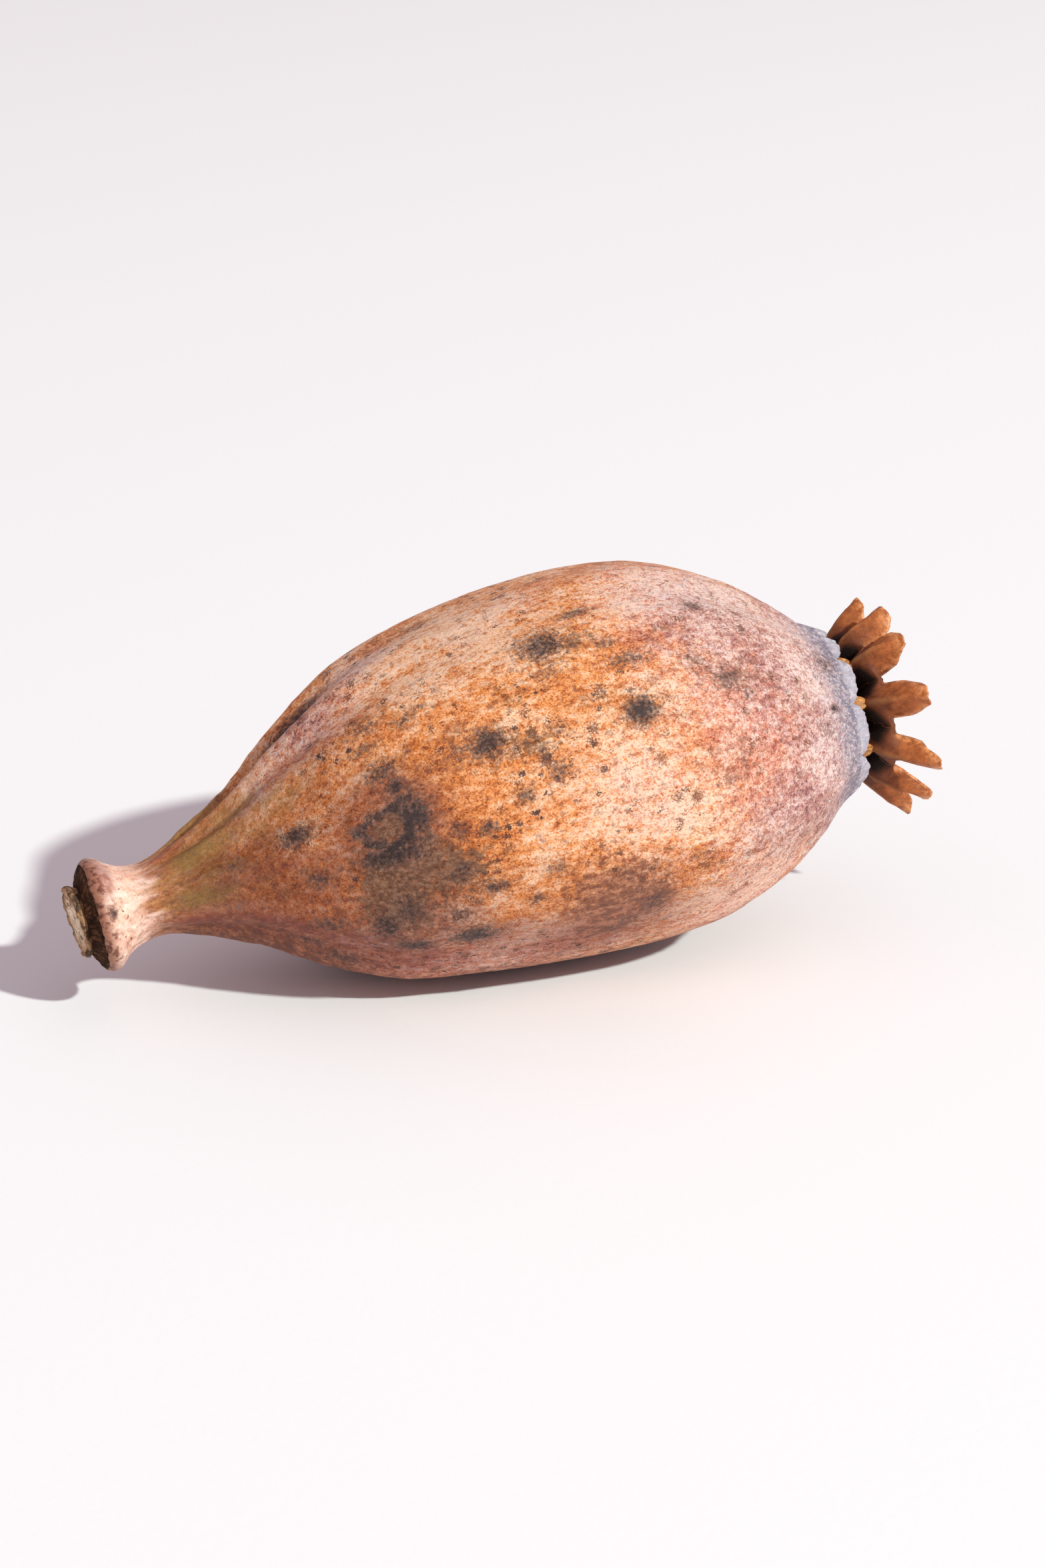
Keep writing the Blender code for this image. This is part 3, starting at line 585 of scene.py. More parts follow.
def ray_sheet(ray, positions, across, side, ragged):
    """One face of a ray as a grid of growth coordinates. across runs from -1 to 1, side is 1 on the upper face."""
    position, width = np.meshgrid(positions, across, indexing="ij")
    angle = RAY_ANGLES[ray]
    before = (angle - RAY_ANGLES[ray - 1]) % math.tau / 2
    after = (RAY_ANGLES[(ray + 1) % RAY_COUNT] - angle) % math.tau / 2
    half_gap = np.where(width > 0, after, before)
    beyond = np.maximum(position - NOTCH_STATION, 0)
    reach = beyond / (RAY_END - NOTCH_STATION)
    shorter = 1 - RAY_BLUNTNESS * np.abs(width) ** 2.4 - ragged * reach**2
    beyond = beyond * np.maximum(shorter, 0.5)
    place = np.minimum(position, NOTCH_STATION) + beyond
    radius, height = keel_point(place)
    out, along = keel_normal(place)
    notch_radius, notch_height = keel_point(NOTCH_STATION)
    run, rise = (radius - notch_radius) * RAY_LENGTHS[ray], (height - notch_height) * RAY_LENGTHS[ray]
    lean = RAY_LEANS[ray]
    free_part = beyond > 0
    radius = np.where(free_part, notch_radius + run * math.cos(lean) + rise * math.sin(lean), radius)
    height = np.where(free_part, notch_height + rise * math.cos(lean) - run * math.sin(lean), height)
    keel = (np.sqrt(width**2 + 0.05) - math.sqrt(0.05)) / (math.sqrt(1.05) - math.sqrt(0.05))
    margin = np.maximum(np.abs(width) ** 3 * smooth_between(0, 0.5, position - NOTCH_STATION), reach**4)
    thickness = RAY_THICKNESS / 2 * (1 - 0.6 * margin)
    if side > 0:
        fade = smooth_between(0.6, 1.4, position) * (1 - smooth_between(RAY_END - 1.2, RAY_END - 0.3, position))
        thickness = thickness + STIGMA_RIDGE * np.exp(-((width / 0.2) ** 2)) * fade
    else:
        thickness = thickness + UNDER_RIDGE * np.exp(-((width / 0.16) ** 2)) * (1 - smooth_between(4.2, 5.6, position))
    pleat = np.interp(place, np.arange(len(RAY_PLEATS)), RAY_PLEATS) * MM * keel
    turned_up = smooth_between(NOTCH_STATION - 0.3, NOTCH_STATION + 1.2, position)
    free = smooth_between(0.0, 1.1, position - NOTCH_STATION)
    half_width = half_gap * notch_radius + (RAY_HALF_WIDTHS[ray] * MM - half_gap * notch_radius) * free
    half_angle = np.where(position <= NOTCH_STATION, half_gap, half_width / radius)
    turned = angle + width * half_angle
    crumple = grain(around(turned, RIM_X + height, radius) * (0.5, 1, 1), 0.75, 4)
    curl = RAY_CURL * np.sin(2.1 * ray + 3 * width) * reach**2
    offset = side * thickness + RAY_CRUMPLE * crumple * (0.4 + reach) + curl
    height = height + along * offset + pleat * (1 - turned_up * (1 - along))
    signed = np.where(position < NOTCH_STATION, (position - NOTCH_STATION) / (RAY_END - NOTCH_STATION), reach)
    return around(turned, RIM_X + height, radius + out * (offset + pleat * turned_up)), signed, width


def crown_mesh(columns=20, web_rows=16, lobe_rows=26):
    """The pleated funnel whose rays part into blunt, ragged blades: points, faces and fields."""
    web = np.linspace(0.12, NOTCH_STATION, web_rows + 1)
    lobe = NOTCH_STATION + (RAY_END - NOTCH_STATION) * np.arange(1, lobe_rows + 1) / lobe_rows
    positions = np.concatenate([web, lobe])
    across = np.linspace(-1, 1, columns + 1)
    last = len(positions) - 1
    grid = np.arange((last + 1) * (columns + 1)).reshape(last + 1, -1)
    quads = np.stack([grid[:-1, :-1], grid[:-1, 1:], grid[1:, 1:], grid[1:, :-1]], -1).reshape(-1, 4)
    rim = np.concatenate([grid[web_rows:, 0], grid[last, 1:], grid[last - 1 : web_rows - 1 : -1, columns]])
    edge = np.stack([rim[:-1], rim[1:], rim[1:], rim[:-1]], -1)
    points, faces, reaches, widths = [], [], [], []
    for ray in range(RAY_COUNT):
        torn = np.array([noise.noise(Vector((3.7 * ray, 4.5 * a, 1.3))) for a in across])
        fine = np.array([noise.noise(Vector((5.1 * ray, 17 * a, 8.1))) for a in across])
        ragged = 0.08 * (torn + 0.2) + 0.012 * fine
        for side in (1, -1):
            sheet, reach, width = ray_sheet(ray, positions, across, side, ragged)
            points.append(sheet.reshape(-1, 3))
            reaches.append(reach.ravel())
            widths.append(width.ravel())
        top, under = 2 * ray * grid.size, (2 * ray + 1) * grid.size
        faces += [quads + top, quads[:, ::-1] + under, edge + (top, top, under, under)]
    return np.vstack(points), np.vstack(faces), {"reach": np.concatenate(reaches), "width": np.concatenate(widths)}


class SEEDHEAD_OT_crown(bpy.types.Operator):
    """Shape the stigma crown with its rays, ridges and papery edges"""

    bl_idname = "seedhead.crown"
    bl_label = "Stigma crown"

    def execute(self, context):
        settings = context.scene.seedhead_crown
        crown = add_piece("stigma_rays", *crown_mesh(), weld=0.002 * MM, fill=True)
        crown.data.materials.append(crown_material(settings))
        enrol(crown, "stigma_crown")
        enrol(papillae(settings))
        return {"FINISHED"}


# ---------------------------------------------------------------- geometry nodes


class NodeSheet:
    """Short calls for building a node tree."""

    def __init__(self, tree):
        self.tree = tree

    def add(self, kind, inputs=None, **settings):
        """A node with its settings, and with a value or a link on each of the named or numbered inputs."""
        node = self.tree.nodes.new(kind)
        for key, value in settings.items():
            setattr(node, key, value)
        self.plug(node, inputs or {})
        return node

    def get(self, kind, output, inputs=None, **settings):
        """One output of a new node."""
        return self.add(kind, inputs, **settings).outputs[output]

    def plug(self, node, inputs):
        for key, value in inputs.items():
            value = getattr(value, "socket", value)
            if isinstance(value, bpy.types.NodeSocket):
                self.tree.links.new(value, node.inputs[key])
            else:
                node.inputs[key].default_value = value


class GrowthSheet(NodeSheet):
    """A geometry node tree with a geometry, a material and named inputs (label, socket type, default)."""

    def __init__(self, name, *inputs):
        super().__init__(bpy.data.node_groups.new(name, "GeometryNodeTree"))
        for in_out in ("INPUT", "OUTPUT"):
            self.tree.interface.new_socket("Geometry", in_out=in_out, socket_type="NodeSocketGeometry")
        for label, kind, default in inputs + (("Material", "Material", None),):
            socket = self.tree.interface.new_socket(label, in_out="INPUT", socket_type="NodeSocket" + kind)
            if default is not None:
                socket.default_value = default
        self.given = self.add("NodeGroupInput").outputs

    def chance(self, kind, first, output, low, high):
        """A random value, with the number of its first input and of its output for the kind of value."""
        inputs = {first: low, first + 1: high, "Seed": self.given["Seed"]}
        return self.get("FunctionNodeRandomValue", output, inputs, data_type=kind)

    def plant(self, instance, points=None, **how):
        """Sets an instance on every point, makes it real, and gives it the material."""
        placed = self.get("GeometryNodeInstanceOnPoints", "Instances", {
            "Points": points or self.given["Geometry"], "Instance": instance, **how,
        })
        real = self.get("GeometryNodeRealizeInstances", "Geometry", {"Geometry": placed})
        dressed = {"Geometry": real, "Material": self.given["Material"]}
        self.add("NodeGroupOutput", {"Geometry": self.get("GeometryNodeSetMaterial", "Geometry", dressed)})
        return self.tree


def grown_piece(name, tree, values, carrier, *others):
    """A finished piece that a geometry node tree grows on a carrier object. The scratch objects go."""
    modifier = carrier.modifiers.new(tree.name, "NODES")
    modifier.node_group = tree
    for item in tree.interface.items_tree:
        if item.item_type == "SOCKET" and item.in_out == "INPUT" and item.name in values:
            modifier[item.identifier] = values[item.name]
    mesh = bpy.data.meshes.new_from_object(carrier.evaluated_get(bpy.context.evaluated_depsgraph_get()))
    carrier.modifiers.remove(modifier)
    mesh.name = name
    mesh.shade_smooth()
    piece = add_object(name, mesh)
    for scratch in (carrier, *others):
        bpy.data.objects.remove(scratch)
    return piece


def papilla_tree():
    """Small round grains on every point, sized at random, with a fixed seed."""
    sheet = GrowthSheet("Stigma papillae", ("Grain", "Float", 0.085 * MM), ("Seed", "Int", PAPILLA_SEED))
    ball = sheet.get("GeometryNodeMeshIcoSphere", "Mesh", {"Radius": sheet.given["Grain"], "Subdivisions": 2})
    return sheet.plant(ball, Scale=sheet.chance("FLOAT", 2, 1, 0.6, 1.35))


def papillae(settings):
    """The velvety grains along the ridges on the crown's upper face."""
    chance = np.random.default_rng(8)
    points = []
    for ray in range(RAY_COUNT):
        for share in (np.arange(settings.papillae) + 0.5) / settings.papillae:
            position, width = np.array([0.7 + (RAY_END - 1.5) * share]), np.array([chance.uniform(-0.13, 0.13)])
            sheet, _, _ = ray_sheet(ray, position, width, 1, np.zeros(1))
            points.append(sheet[0, 0])
    values = {"Grain": settings.papilla_size, "Seed": PAPILLA_SEED, "Material": papilla_material(settings)}
    return grown_piece("stigma_papillae", papilla_tree(), values, add_mesh("papilla_points", settle(points)))


def under_crown(radius):
    """The height over the mouth of the crown's underside, on a keel, at a distance from the axis."""
    places = np.linspace(0, RAY_END, 400)
    place = np.interp(radius, keel_point(places)[0], places)
    return keel_point(place)[1] - RAY_THICKNESS / 2 / np.maximum(keel_normal(place)[1], 0.3)


def strut_outline():
    """The side view of one partition end, from its root in the wall to the crown: x and radius."""
    root, shoulder = RIM_X - 5 * MM, RIM_X - 2.4 * MM
    radii = (STRUT_OUTER_RADIUS, STRUT_MIDDLE_RADIUS, STRUT_INNER_RADIUS)
    tops = [(RIM_X + under_crown(radius) + 0.05 * MM, radius) for radius in radii]
    tops[0] = (tops[0][0], STRUT_OUTER_RADIUS + 0.1 * MM)
    return np.array([
        (root, outline_radius(root) - 0.8 * MM),
        (shoulder, outline_radius(shoulder) - 0.7 * MM),
        (RIM_X - 0.1 * MM, outline_radius(RIM_X) - 0.35 * MM),
        (RIM_X + 0.35 * MM, STRUT_OUTER_RADIUS + 0.3 * MM),
        *tops,
        (RIM_X - 1.2 * MM, STRUT_INNER_RADIUS + 0.7 * MM),
        (root, outline_radius(root) - WALL - 1.1 * MM),
    ])


def strut_solid(layers=9, sides=72):
    """One partition end as a puffed fin in the plane of angle 0: points and faces."""
    outline = strut_outline()
    loop = np.vstack([outline, outline[:1]])
    length = np.concatenate([[0], np.cumsum(np.hypot(*np.diff(loop, axis=0).T))])
    ask = np.linspace(0, length[-1], sides, endpoint=False)
    edge = np.stack([np.interp(ask, length, loop[:, k]) for k in (0, 1)], -1)
    middle = edge.mean(axis=0)
    rows = []
    for layer in np.linspace(-1, 1, layers):
        ring = middle + (edge - middle) * (1 - 0.3 * abs(layer) ** 3)
        rows.append(np.column_stack([ring, np.full(sides, layer * STRUT_HALF_THICKNESS)]))
    points = np.vstack(rows)
    faces = lattice_faces(layers, sides).tolist()
    faces += [list(range(sides))[::-1], list(range((layers - 1) * sides, layers * sides))]
    points[:, 2] += STRUT_ROUGHNESS * grain(points * (0.4, 1, 1), 1.6, 4) * np.sign(points[:, 2])
    return points, faces


def strut_tree():
    """One partition end turned to every ray's angle."""
    sheet = GrowthSheet("Partition ends", ("Partition", "Object", None), ("Thickness", "Float", 1.0))
    fin = sheet.get("GeometryNodeObjectInfo", "Geometry", {"Object": sheet.given["Partition"]})
    turn = sheet.get("GeometryNodeInputNamedAttribute", "Attribute", {"Name": "turn"}, data_type="FLOAT")
    spin = sheet.get("ShaderNodeCombineXYZ", "Vector", {"X": turn})
    size = sheet.get("ShaderNodeCombineXYZ", "Vector", {"X": 1.0, "Y": 1.0, "Z": sheet.given["Thickness"]})
    return sheet.plant(fin, Rotation=spin, Scale=size)


class SEEDHEAD_OT_partition_ends(bpy.types.Operator):
    """Set the golden ends of the partitions between the mouth and the crown"""

    bl_idname = "seedhead.partition_ends"
    bl_label = "Partition ends"

    def execute(self, context):
        fin = add_mesh("partition", *strut_solid())
        points = add_mesh("partition_points", np.zeros((RAY_COUNT, 3)), fields={"turn": RAY_ANGLES})
        material = strut_material(context.scene.seedhead_crown)
        values = {"Partition": fin, "Thickness": STRUT_SWELL, "Material": material}
        piece = grown_piece("partition_ends", strut_tree(), values, points, fin)
        local = np.empty(len(piece.data.vertices) * 3)
        piece.data.vertices.foreach_get("co", local)
        local = local.reshape(-1, 3)
        side, up = axis_at(local[:, 0])
        local[:, 1] += side
        local[:, 2] += up
        piece.data.vertices.foreach_set("co", settle(local).ravel())
        enrol(piece)
        return {"FINISHED"}


# ---------------------------------------------------------------- stalk


def stalk_rings(sides=120, rows=64):
    """Rings of the broken stalk, from inside the scar over the torn rind to the sunk pith."""
    angle = math.tau * np.arange(sides) / sides
    stations = even_stations(BREAK_OUTLINE * (1.8, 1.0), rows, lambda x: np.ones_like(x))
    tear = np.array([noise.fractal(Vector((2.2 * math.cos(a), 2.2 * math.sin(a), 4.0)), 0.8, 2.0, 4) for a in angle])
    rings = []
    for share, radius in curve_at(BREAK_OUTLINE, stations):
        depth = BREAK_MEAN + BREAK_SLANT * np.cos(angle - BREAK_ANGLE) * min(radius / STALK_RADIUS, 1.0)
        torn = smooth_between(0.5, 1.0, share) * smooth_between(2.2, 3.0, radius)
        x = RIND_START - share * (RIND_START + depth) if share > 0 else np.full_like(angle, RIND_START)
        x = x + (PLUG_TOP - RIND_START) * smooth_between(0.0, 0.6, -share)
        rough = grain(around(angle, 0.0, radius * MM) + np.stack([x, 0 * x, 0 * x], -1), 0.9, 5)
        crumb = smooth_between(0.0, 1.0, radius) * smooth_between(0.3, 0.8, share)
        flare = 1 + 0.06 * smooth_between(0.3, 0.8, share) + 0.02 * np.sin(3 * angle + 1)
        ring = around(angle, 0.0, radius * MM * flare + RIND_ROUGHNESS * rough * crumb)
        ring[:, 0] = x - TEAR_DEPTH * tear * torn + PITH_ROUGHNESS * rough * crumb
        rings.append(ring)
    return np.array(rings)


def fibre_tree():
    """Thin torn fibres standing on the break, leaning and sized at random, with a fixed seed."""
    sheet = GrowthSheet(
        "Torn fibres", ("Fibres", "Int", 150), ("Length", "Float", 0.5 * MM),
        ("Thickness", "Float", FIBRE_THICKNESS), ("Seed", "Int", FIBRE_SEED),
    )
    scatter = sheet.add("GeometryNodeDistributePointsOnFaces", {
        "Mesh": sheet.given["Geometry"], "Seed": sheet.given["Seed"], "Density": FIBRES_PER_SQUARE_METRE,
    })
    surplus = sheet.get("FunctionNodeCompare", "Result", {
        2: sheet.get("GeometryNodeInputIndex", "Index"), 3: sheet.given["Fibres"],
    }, data_type="INT", operation="GREATER_EQUAL")
    thinned = sheet.get("GeometryNodeDeleteGeometry", "Geometry", {
        "Geometry": scatter.outputs["Points"], "Selection": surplus,
    }, domain="POINT")
    fibre = sheet.get("GeometryNodeMeshCone", "Mesh", {
        "Vertices": 6, "Side Segments": 2, "Radius Top": 0.25 * FIBRE_THICKNESS,
        "Radius Bottom": sheet.given["Thickness"], "Depth": sheet.given["Length"],
    })
    turned = sheet.get("FunctionNodeRotateRotation", "Rotation", {
        "Rotation": scatter.outputs["Rotation"],
        "Rotate By": sheet.chance("FLOAT_VECTOR", 0, 0, (-0.5, -0.5, 0.0), (0.5, 0.5, 6.3)),
    }, rotation_space="LOCAL")
    return sheet.plant(fibre, thinned, Rotation=turned, Scale=sheet.chance("FLOAT", 2, 1, 0.5, 1.3))


class SEEDHEAD_OT_stalk(bpy.types.Operator):
    """Shape the broken stalk end with its torn rind, pith and fibres"""

    bl_idname = "seedhead.stalk"
    bl_label = "Stalk end"

    def execute(self, context):
        settings = context.scene.seedhead_stalk
        material = stalk_material(settings)
        rings = stalk_rings()
        points, faces = capped_lattice(rings, (PLUG_TOP, 0, 0), at_end=False)
        core = 1 - np.hypot(points[:, 1], points[:, 2]) / (STALK_RADIUS * MM)
        stalk = add_piece("broken_stalk", points, faces, {"core": core})
        stalk.data.materials.append(material)
        enrol(stalk, "stalk_end")
        broken = rings[len(rings) * 55 // 100:]
        face = add_mesh("break_face", settle(broken), lattice_faces(*broken.shape[:2]).tolist())
        values = {
            "Fibres": settings.fibres, "Length": settings.fibre_length, "Thickness": FIBRE_THICKNESS,
            "Seed": FIBRE_SEED, "Material": material,
        }
        enrol(grown_piece("torn_fibres", fibre_tree(), values, face))
        return {"FINISHED"}


# ---------------------------------------------------------------- materials


def as_linear(colour):
    """A colour as it looks on screen, in three numbers, made linear. Links and linear colours stay as they are."""
    return srgb(*colour) if isinstance(colour, tuple) and len(colour) == 3 else colour


class Level:
    """A number that changes over the surface, so that sums with it can be written out."""

    def __init__(self, sheet, socket):
        self.sheet = sheet
        self.socket = socket

    def joined(self, other, operation):
        return self.sheet.level("ShaderNodeMath", {0: self, 1: other}, operation=operation)

    def __add__(self, other):
        return self.joined(other, "ADD")

    def __sub__(self, other):
        return self.joined(other, "SUBTRACT")

    def __mul__(self, other):
        return self.joined(other, "MULTIPLY")

    def most(self, other):
        return self.joined(other, "MAXIMUM")

    def band(self, low, high, to_low=0.0, to_high=1.0):
        """A smooth step between two levels."""
        return self.sheet.level("ShaderNodeMapRange", {
            "Value": self, "From Min": low, "From Max": high, "To Min": to_low, "To Max": to_high,
        }, "Result", interpolation_type="SMOOTHSTEP")

    def ramp(self, *stops):
        """Colours along the level. Each stop is a place and a colour."""
        node = self.sheet.add("ShaderNodeValToRGB", {0: self})
        elements = node.color_ramp.elements
        while len(elements) < len(stops):
            elements.new(0.5)
        for element, (place, colour) in zip(elements, stops):
            element.position = min(place, 1.0)
            element.color = as_linear(colour)
        return node.outputs["Color"]


class ShaderSheet(NodeSheet):
    """Short calls for the shader nodes that the finishes here use. It holds the colour laid on so far."""

    colour = None

    def level(self, kind, inputs, output=0, **settings):
        return Level(self, self.get(kind, output, inputs, **settings))

    def field(self, name):
        return self.level("ShaderNodeAttribute", {}, "Fac", attribute_name=name)

    def growth(self):
        """The pod's own coordinates, unrolled round a straight axis, in millimetres."""
        return self.get("ShaderNodeAttribute", "Vector", attribute_name="growth")

    def stretched(self, place, scale, shift=(0, 0, 0)):
        return self.get("ShaderNodeMapping", "Vector", {"Vector": place, "Scale": scale, "Location": shift})

    def millimetres(self):
        """Object coordinates in millimetres."""
        return self.stretched(self.get("ShaderNodeTexCoord", "Object"), (1000, 1000, 1000))

    def cloud(self, place, scale, detail=4.0, roughness=0.6, distortion=0.0, shift=(0, 0, 0)):
        """Cloudy noise. A scale of three numbers stretches it."""
        if isinstance(scale, tuple):
            place, scale = self.stretched(place, scale, shift), 1.0
        return self.level("ShaderNodeTexNoise", {
            "Vector": place, "Scale": scale, "Detail": detail, "Roughness": roughness, "Distortion": distortion,
        }, "Fac")

    def cells(self, place, scale):
        return self.level("ShaderNodeTexVoronoi", {"Vector": place, "Scale": scale}, "Distance")

    def flecks(self, place, scale, shift, detail, low, high):
        """Irregular small flecks where a cloudy noise rises above a level."""
        return self.cloud(place, scale, detail, shift=shift).band(low, high)

    def spots(self, place, scale, grit, inner, outer, rarity):
        """Round soft spots of mixed sizes, with gritty edges; a higher rarity leaves fewer."""
        cell = self.add("ShaderNodeTexVoronoi", {"Vector": place, "Scale": scale}).outputs
        chance = self.add("ShaderNodeSeparateColor", {"Color": cell["Color"]}).outputs
        away = Level(self, cell["Distance"]) + Level(self, chance["Green"]).band(0, 1, 0, 0.12) + (grit - 0.5)
        return away.band(inner, outer, 1, 0) * Level(self, chance["Red"]).band(rarity, rarity + 0.25)

    def ragged(self, field, place, scale, raggedness, threshold, softness):
        """The ragged patch group at work on a level, or on the field with a name."""
        return self.level("ShaderNodeGroup", {
            "Field": self.field(field) if isinstance(field, str) else field, "Vector": place, "Scale": scale,
            "Raggedness": raggedness, "Threshold": threshold, "Softness": softness,
        }, "Mask", node_tree=ragged_patch_group())

    def blend(self, share, under, over, mode="MIX"):
        inputs = {0: share, 6: as_linear(under), 7: as_linear(over)}
        return self.get("ShaderNodeMix", 2, inputs, data_type="RGBA", blend_type=mode, clamp_factor=True)

    def paint(self, share, colour, mode="MIX"):
        """Lays a share of a colour on what is there."""
        self.colour = self.blend(share, self.colour, colour, mode)

    def finish(self, roughness, specular=0.5, height=None, depth=0.0, strength=1.0):
        """Gives the Principled shader its colour, its gloss and its relief, and returns the material."""
        inputs = {"Base Color": self.colour, "Roughness": roughness, "Specular IOR Level": specular}
        if height:
            relief = {"Height": height, "Distance": depth, "Strength": strength}
            inputs["Normal"] = self.get("ShaderNodeBump", "Normal", relief)
        self.plug(self.tree.nodes["Principled BSDF"], inputs)
        return self.material


def new_material(name):
    """The sheet of an empty node material."""
    material = bpy.data.materials.new(name)
    material.use_nodes = True
    sheet = ShaderSheet(material.node_tree)
    sheet.material = material
    return sheet


def ragged_patch_group():
    """Turns a soft field into a patch with ragged, speckled edges."""
    name = "Ragged patch"
    if name in bpy.data.node_groups:
        return bpy.data.node_groups[name]
    tree = bpy.data.node_groups.new(name, "ShaderNodeTree")
    for label in ("Field", "Vector", "Scale", "Raggedness", "Threshold", "Softness"):
        kind = "Vector" if label == "Vector" else "Float"
        tree.interface.new_socket(label, in_out="INPUT", socket_type="NodeSocket" + kind)
    tree.interface.new_socket("Mask", in_out="OUTPUT", socket_type="NodeSocketFloat")
    sheet = ShaderSheet(tree)
    given = sheet.add("NodeGroupInput").outputs
    field, raggedness, threshold, softness = (
        Level(sheet, given[label]) for label in ("Field", "Raggedness", "Threshold", "Softness")
    )
    rough = sheet.cloud(given["Vector"], given["Scale"], 7, 0.72)
    level = field + (rough - 0.5) * raggedness
    sheet.add("NodeGroupOutput", {"Mask": level.band(threshold - softness, threshold + softness)})
    return tree


def skin_material(skin):
    """The pod's skin: mottled orange and cream, flecked, moulded, and bloomed towards the mouth."""
    sheet = new_material("pod_skin")
    growth = sheet.growth()
    along = sheet.level("ShaderNodeSeparateXYZ", {"Vector": growth}, "X")
    drift = sheet.cloud(growth, (0.085, 0.17, 0.17), 3, 0.5, 0.4, (3, 8, 1))
    medium = sheet.cloud(growth, (0.5, 1.15, 1.15), 4, 0.6, 0.4)
    fine = sheet.cloud(growth, (2, 2.5, 2.5), 6, 0.75)
    pores = sheet.cloud(growth, 6.5, 3)
    hairs = sheet.cloud(growth, (0.8, 3.2, 3.2), 4, 0.65, 0.3)
    wander = sheet.cloud(growth, (0.16, 0.85, 0.85), 5) - 0.5

    # Mottling in warm and in rosy skin, and the waxy haze towards the crown
    tone = drift * 0.8 + medium * 1.05 + fine * 0.5 + pores * 0.45 + hairs * 0.2 - 1.27
    tone += fine.band(0.34, 0.52, 0, 0.27) + pores.band(0.36, 0.5, 0, 0.18) + sheet.field("tone") * 0.22
    sheet.colour = tone.ramp(
        (0.1, (118, 54, 18)), (0.3, (190, 98, 36)), (0.48, skin.orange), (0.64, skin.tan), (0.84, skin.cream)
    )
    sheet.paint(sheet.ragged("pink", growth, 0.7, 1.3, 0.5, 0.45), tone.ramp(
        (0.1, (110, 44, 32)), (0.3, (178, 90, 64)), (0.48, (210, 122, 92)), (0.64, (226, 154, 128)),
        (0.84, (242, 198, 178)),
    ))
    haze = sheet.ragged(sheet.field("haze") + along.band(56, 67, 0, 0.4), growth, 1.3, 2, 0.55, 0.5)
    sheet.paint(haze * 0.72, tone.ramp(
        (0.2, (104, 74, 82)), (0.42, (152, 120, 124)), (0.56, skin.bloom), (0.75, (212, 192, 192))
    ))

    # The neck and its shoulder
    sheet.paint((along + wander * 17).band(9, 19, 0.8, 0), hairs.ramp(
        (0.3, (112, 64, 28)), (0.5, (168, 104, 54)), (0.7, (206, 154, 102))
    ))
    long_patches = sheet.stretched(growth, (0.35, 1, 1))
    sheet.paint(sheet.ragged("olive", long_patches, 1.2, 1.3, 0.5, 0.4) * 0.85, skin.olive)
    # The neck painted pale cream; its palest stop is partly painted highlight
    sheet.paint((along + wander * 9).band(3.2, 6.2, 1, 0), (medium + fine * 0.35).ramp(
        (0.45, (218, 152, 126)), (0.64, (238, 192, 170)), (0.9, (250, 222, 206))
    ))
    long_streaks = sheet.stretched(growth, (0.25, 1.4, 1.4))
    sheet.paint(sheet.ragged("blush", long_streaks, 1.3, 1.3, 0.5, 0.4) * 0.75, skin.blush)
    # Dark marks, and painted shade on the lower near side and the underside, multiplied in
    sheet.paint(sheet.ragged("dark_marks_and_painted_shade", growth, 0.8, 1, 0.5, 0.45) * 0.85, DARK_MARK_AND_SHADE_TINT, "MULTIPLY")

    # Flecks, grains and spots
    body = along.band(9, 20)
    clumps = sheet.cloud(growth, 0.16, 3).band(0.42, 0.58, 0.15) * body
    sheet.paint(sheet.flecks(growth, (1.3, 2, 2), (5, 1, 7), 6, 0.57, 0.65) * body * 0.55, (146, 74, 38))
    grains = sheet.flecks(growth, (3.6, 4.4, 4.4), (2, 9, 4), 4, 0.54, 0.62)
    sheet.paint(grains * (along.band(40, 58, 0.25, 0.6) * body), (168, 84, 62))
    sheet.paint(sheet.spots(growth, 0.46, pores, 0.17, 0.36, 0.1) * clumps * 0.85, (114, 58, 28))
    points = sheet.spots(sheet.stretched(growth, (0.8, 1, 1), (5, 5, 5)), 0.95, pores, 0.19, 0.34, 0.2)
    sheet.paint(points * (along.band(38, 56, 1, 0.5) * clumps), (80, 41, 30))
    dashes = sheet.flecks(growth, (2.2, 4, 4), (1, 4, 4), 3, 0.6, 0.68) * sheet.field("tone").band(-0.3, 0.7)
    sheet.paint(dashes * body * 0.3, (255, 226, 196))

    # Seams over the partitions, and the blue-grey frost on the valves
    seam = sheet.field("seam").band(0, 0.06, 1, 0) * along.band(58, 66) * fine.band(0.45, 0.6)
    sheet.paint(seam * 0.5, (150, 84, 70))
    frost = sheet.ragged(along.band(62, 70.6) + sheet.field("edge") * 0.3, growth, 1.5, 2.6, 0.8, 0.75)
    sheet.paint(frost * 0.86, (fine * 0.5 + pores * 0.5).ramp(
        (0.4, (116, 94, 104)), (0.5, skin.rim), (0.6, (208, 200, 210))
    ))
    sheet.paint(along.band(66.8, 69.6) * fine.band(0.42, 0.6, 1, 0.25) * 0.85, (104, 104, 122))
    sheet.paint(along.band(69.9, 70.4, 0, 0.5), (196, 190, 200))

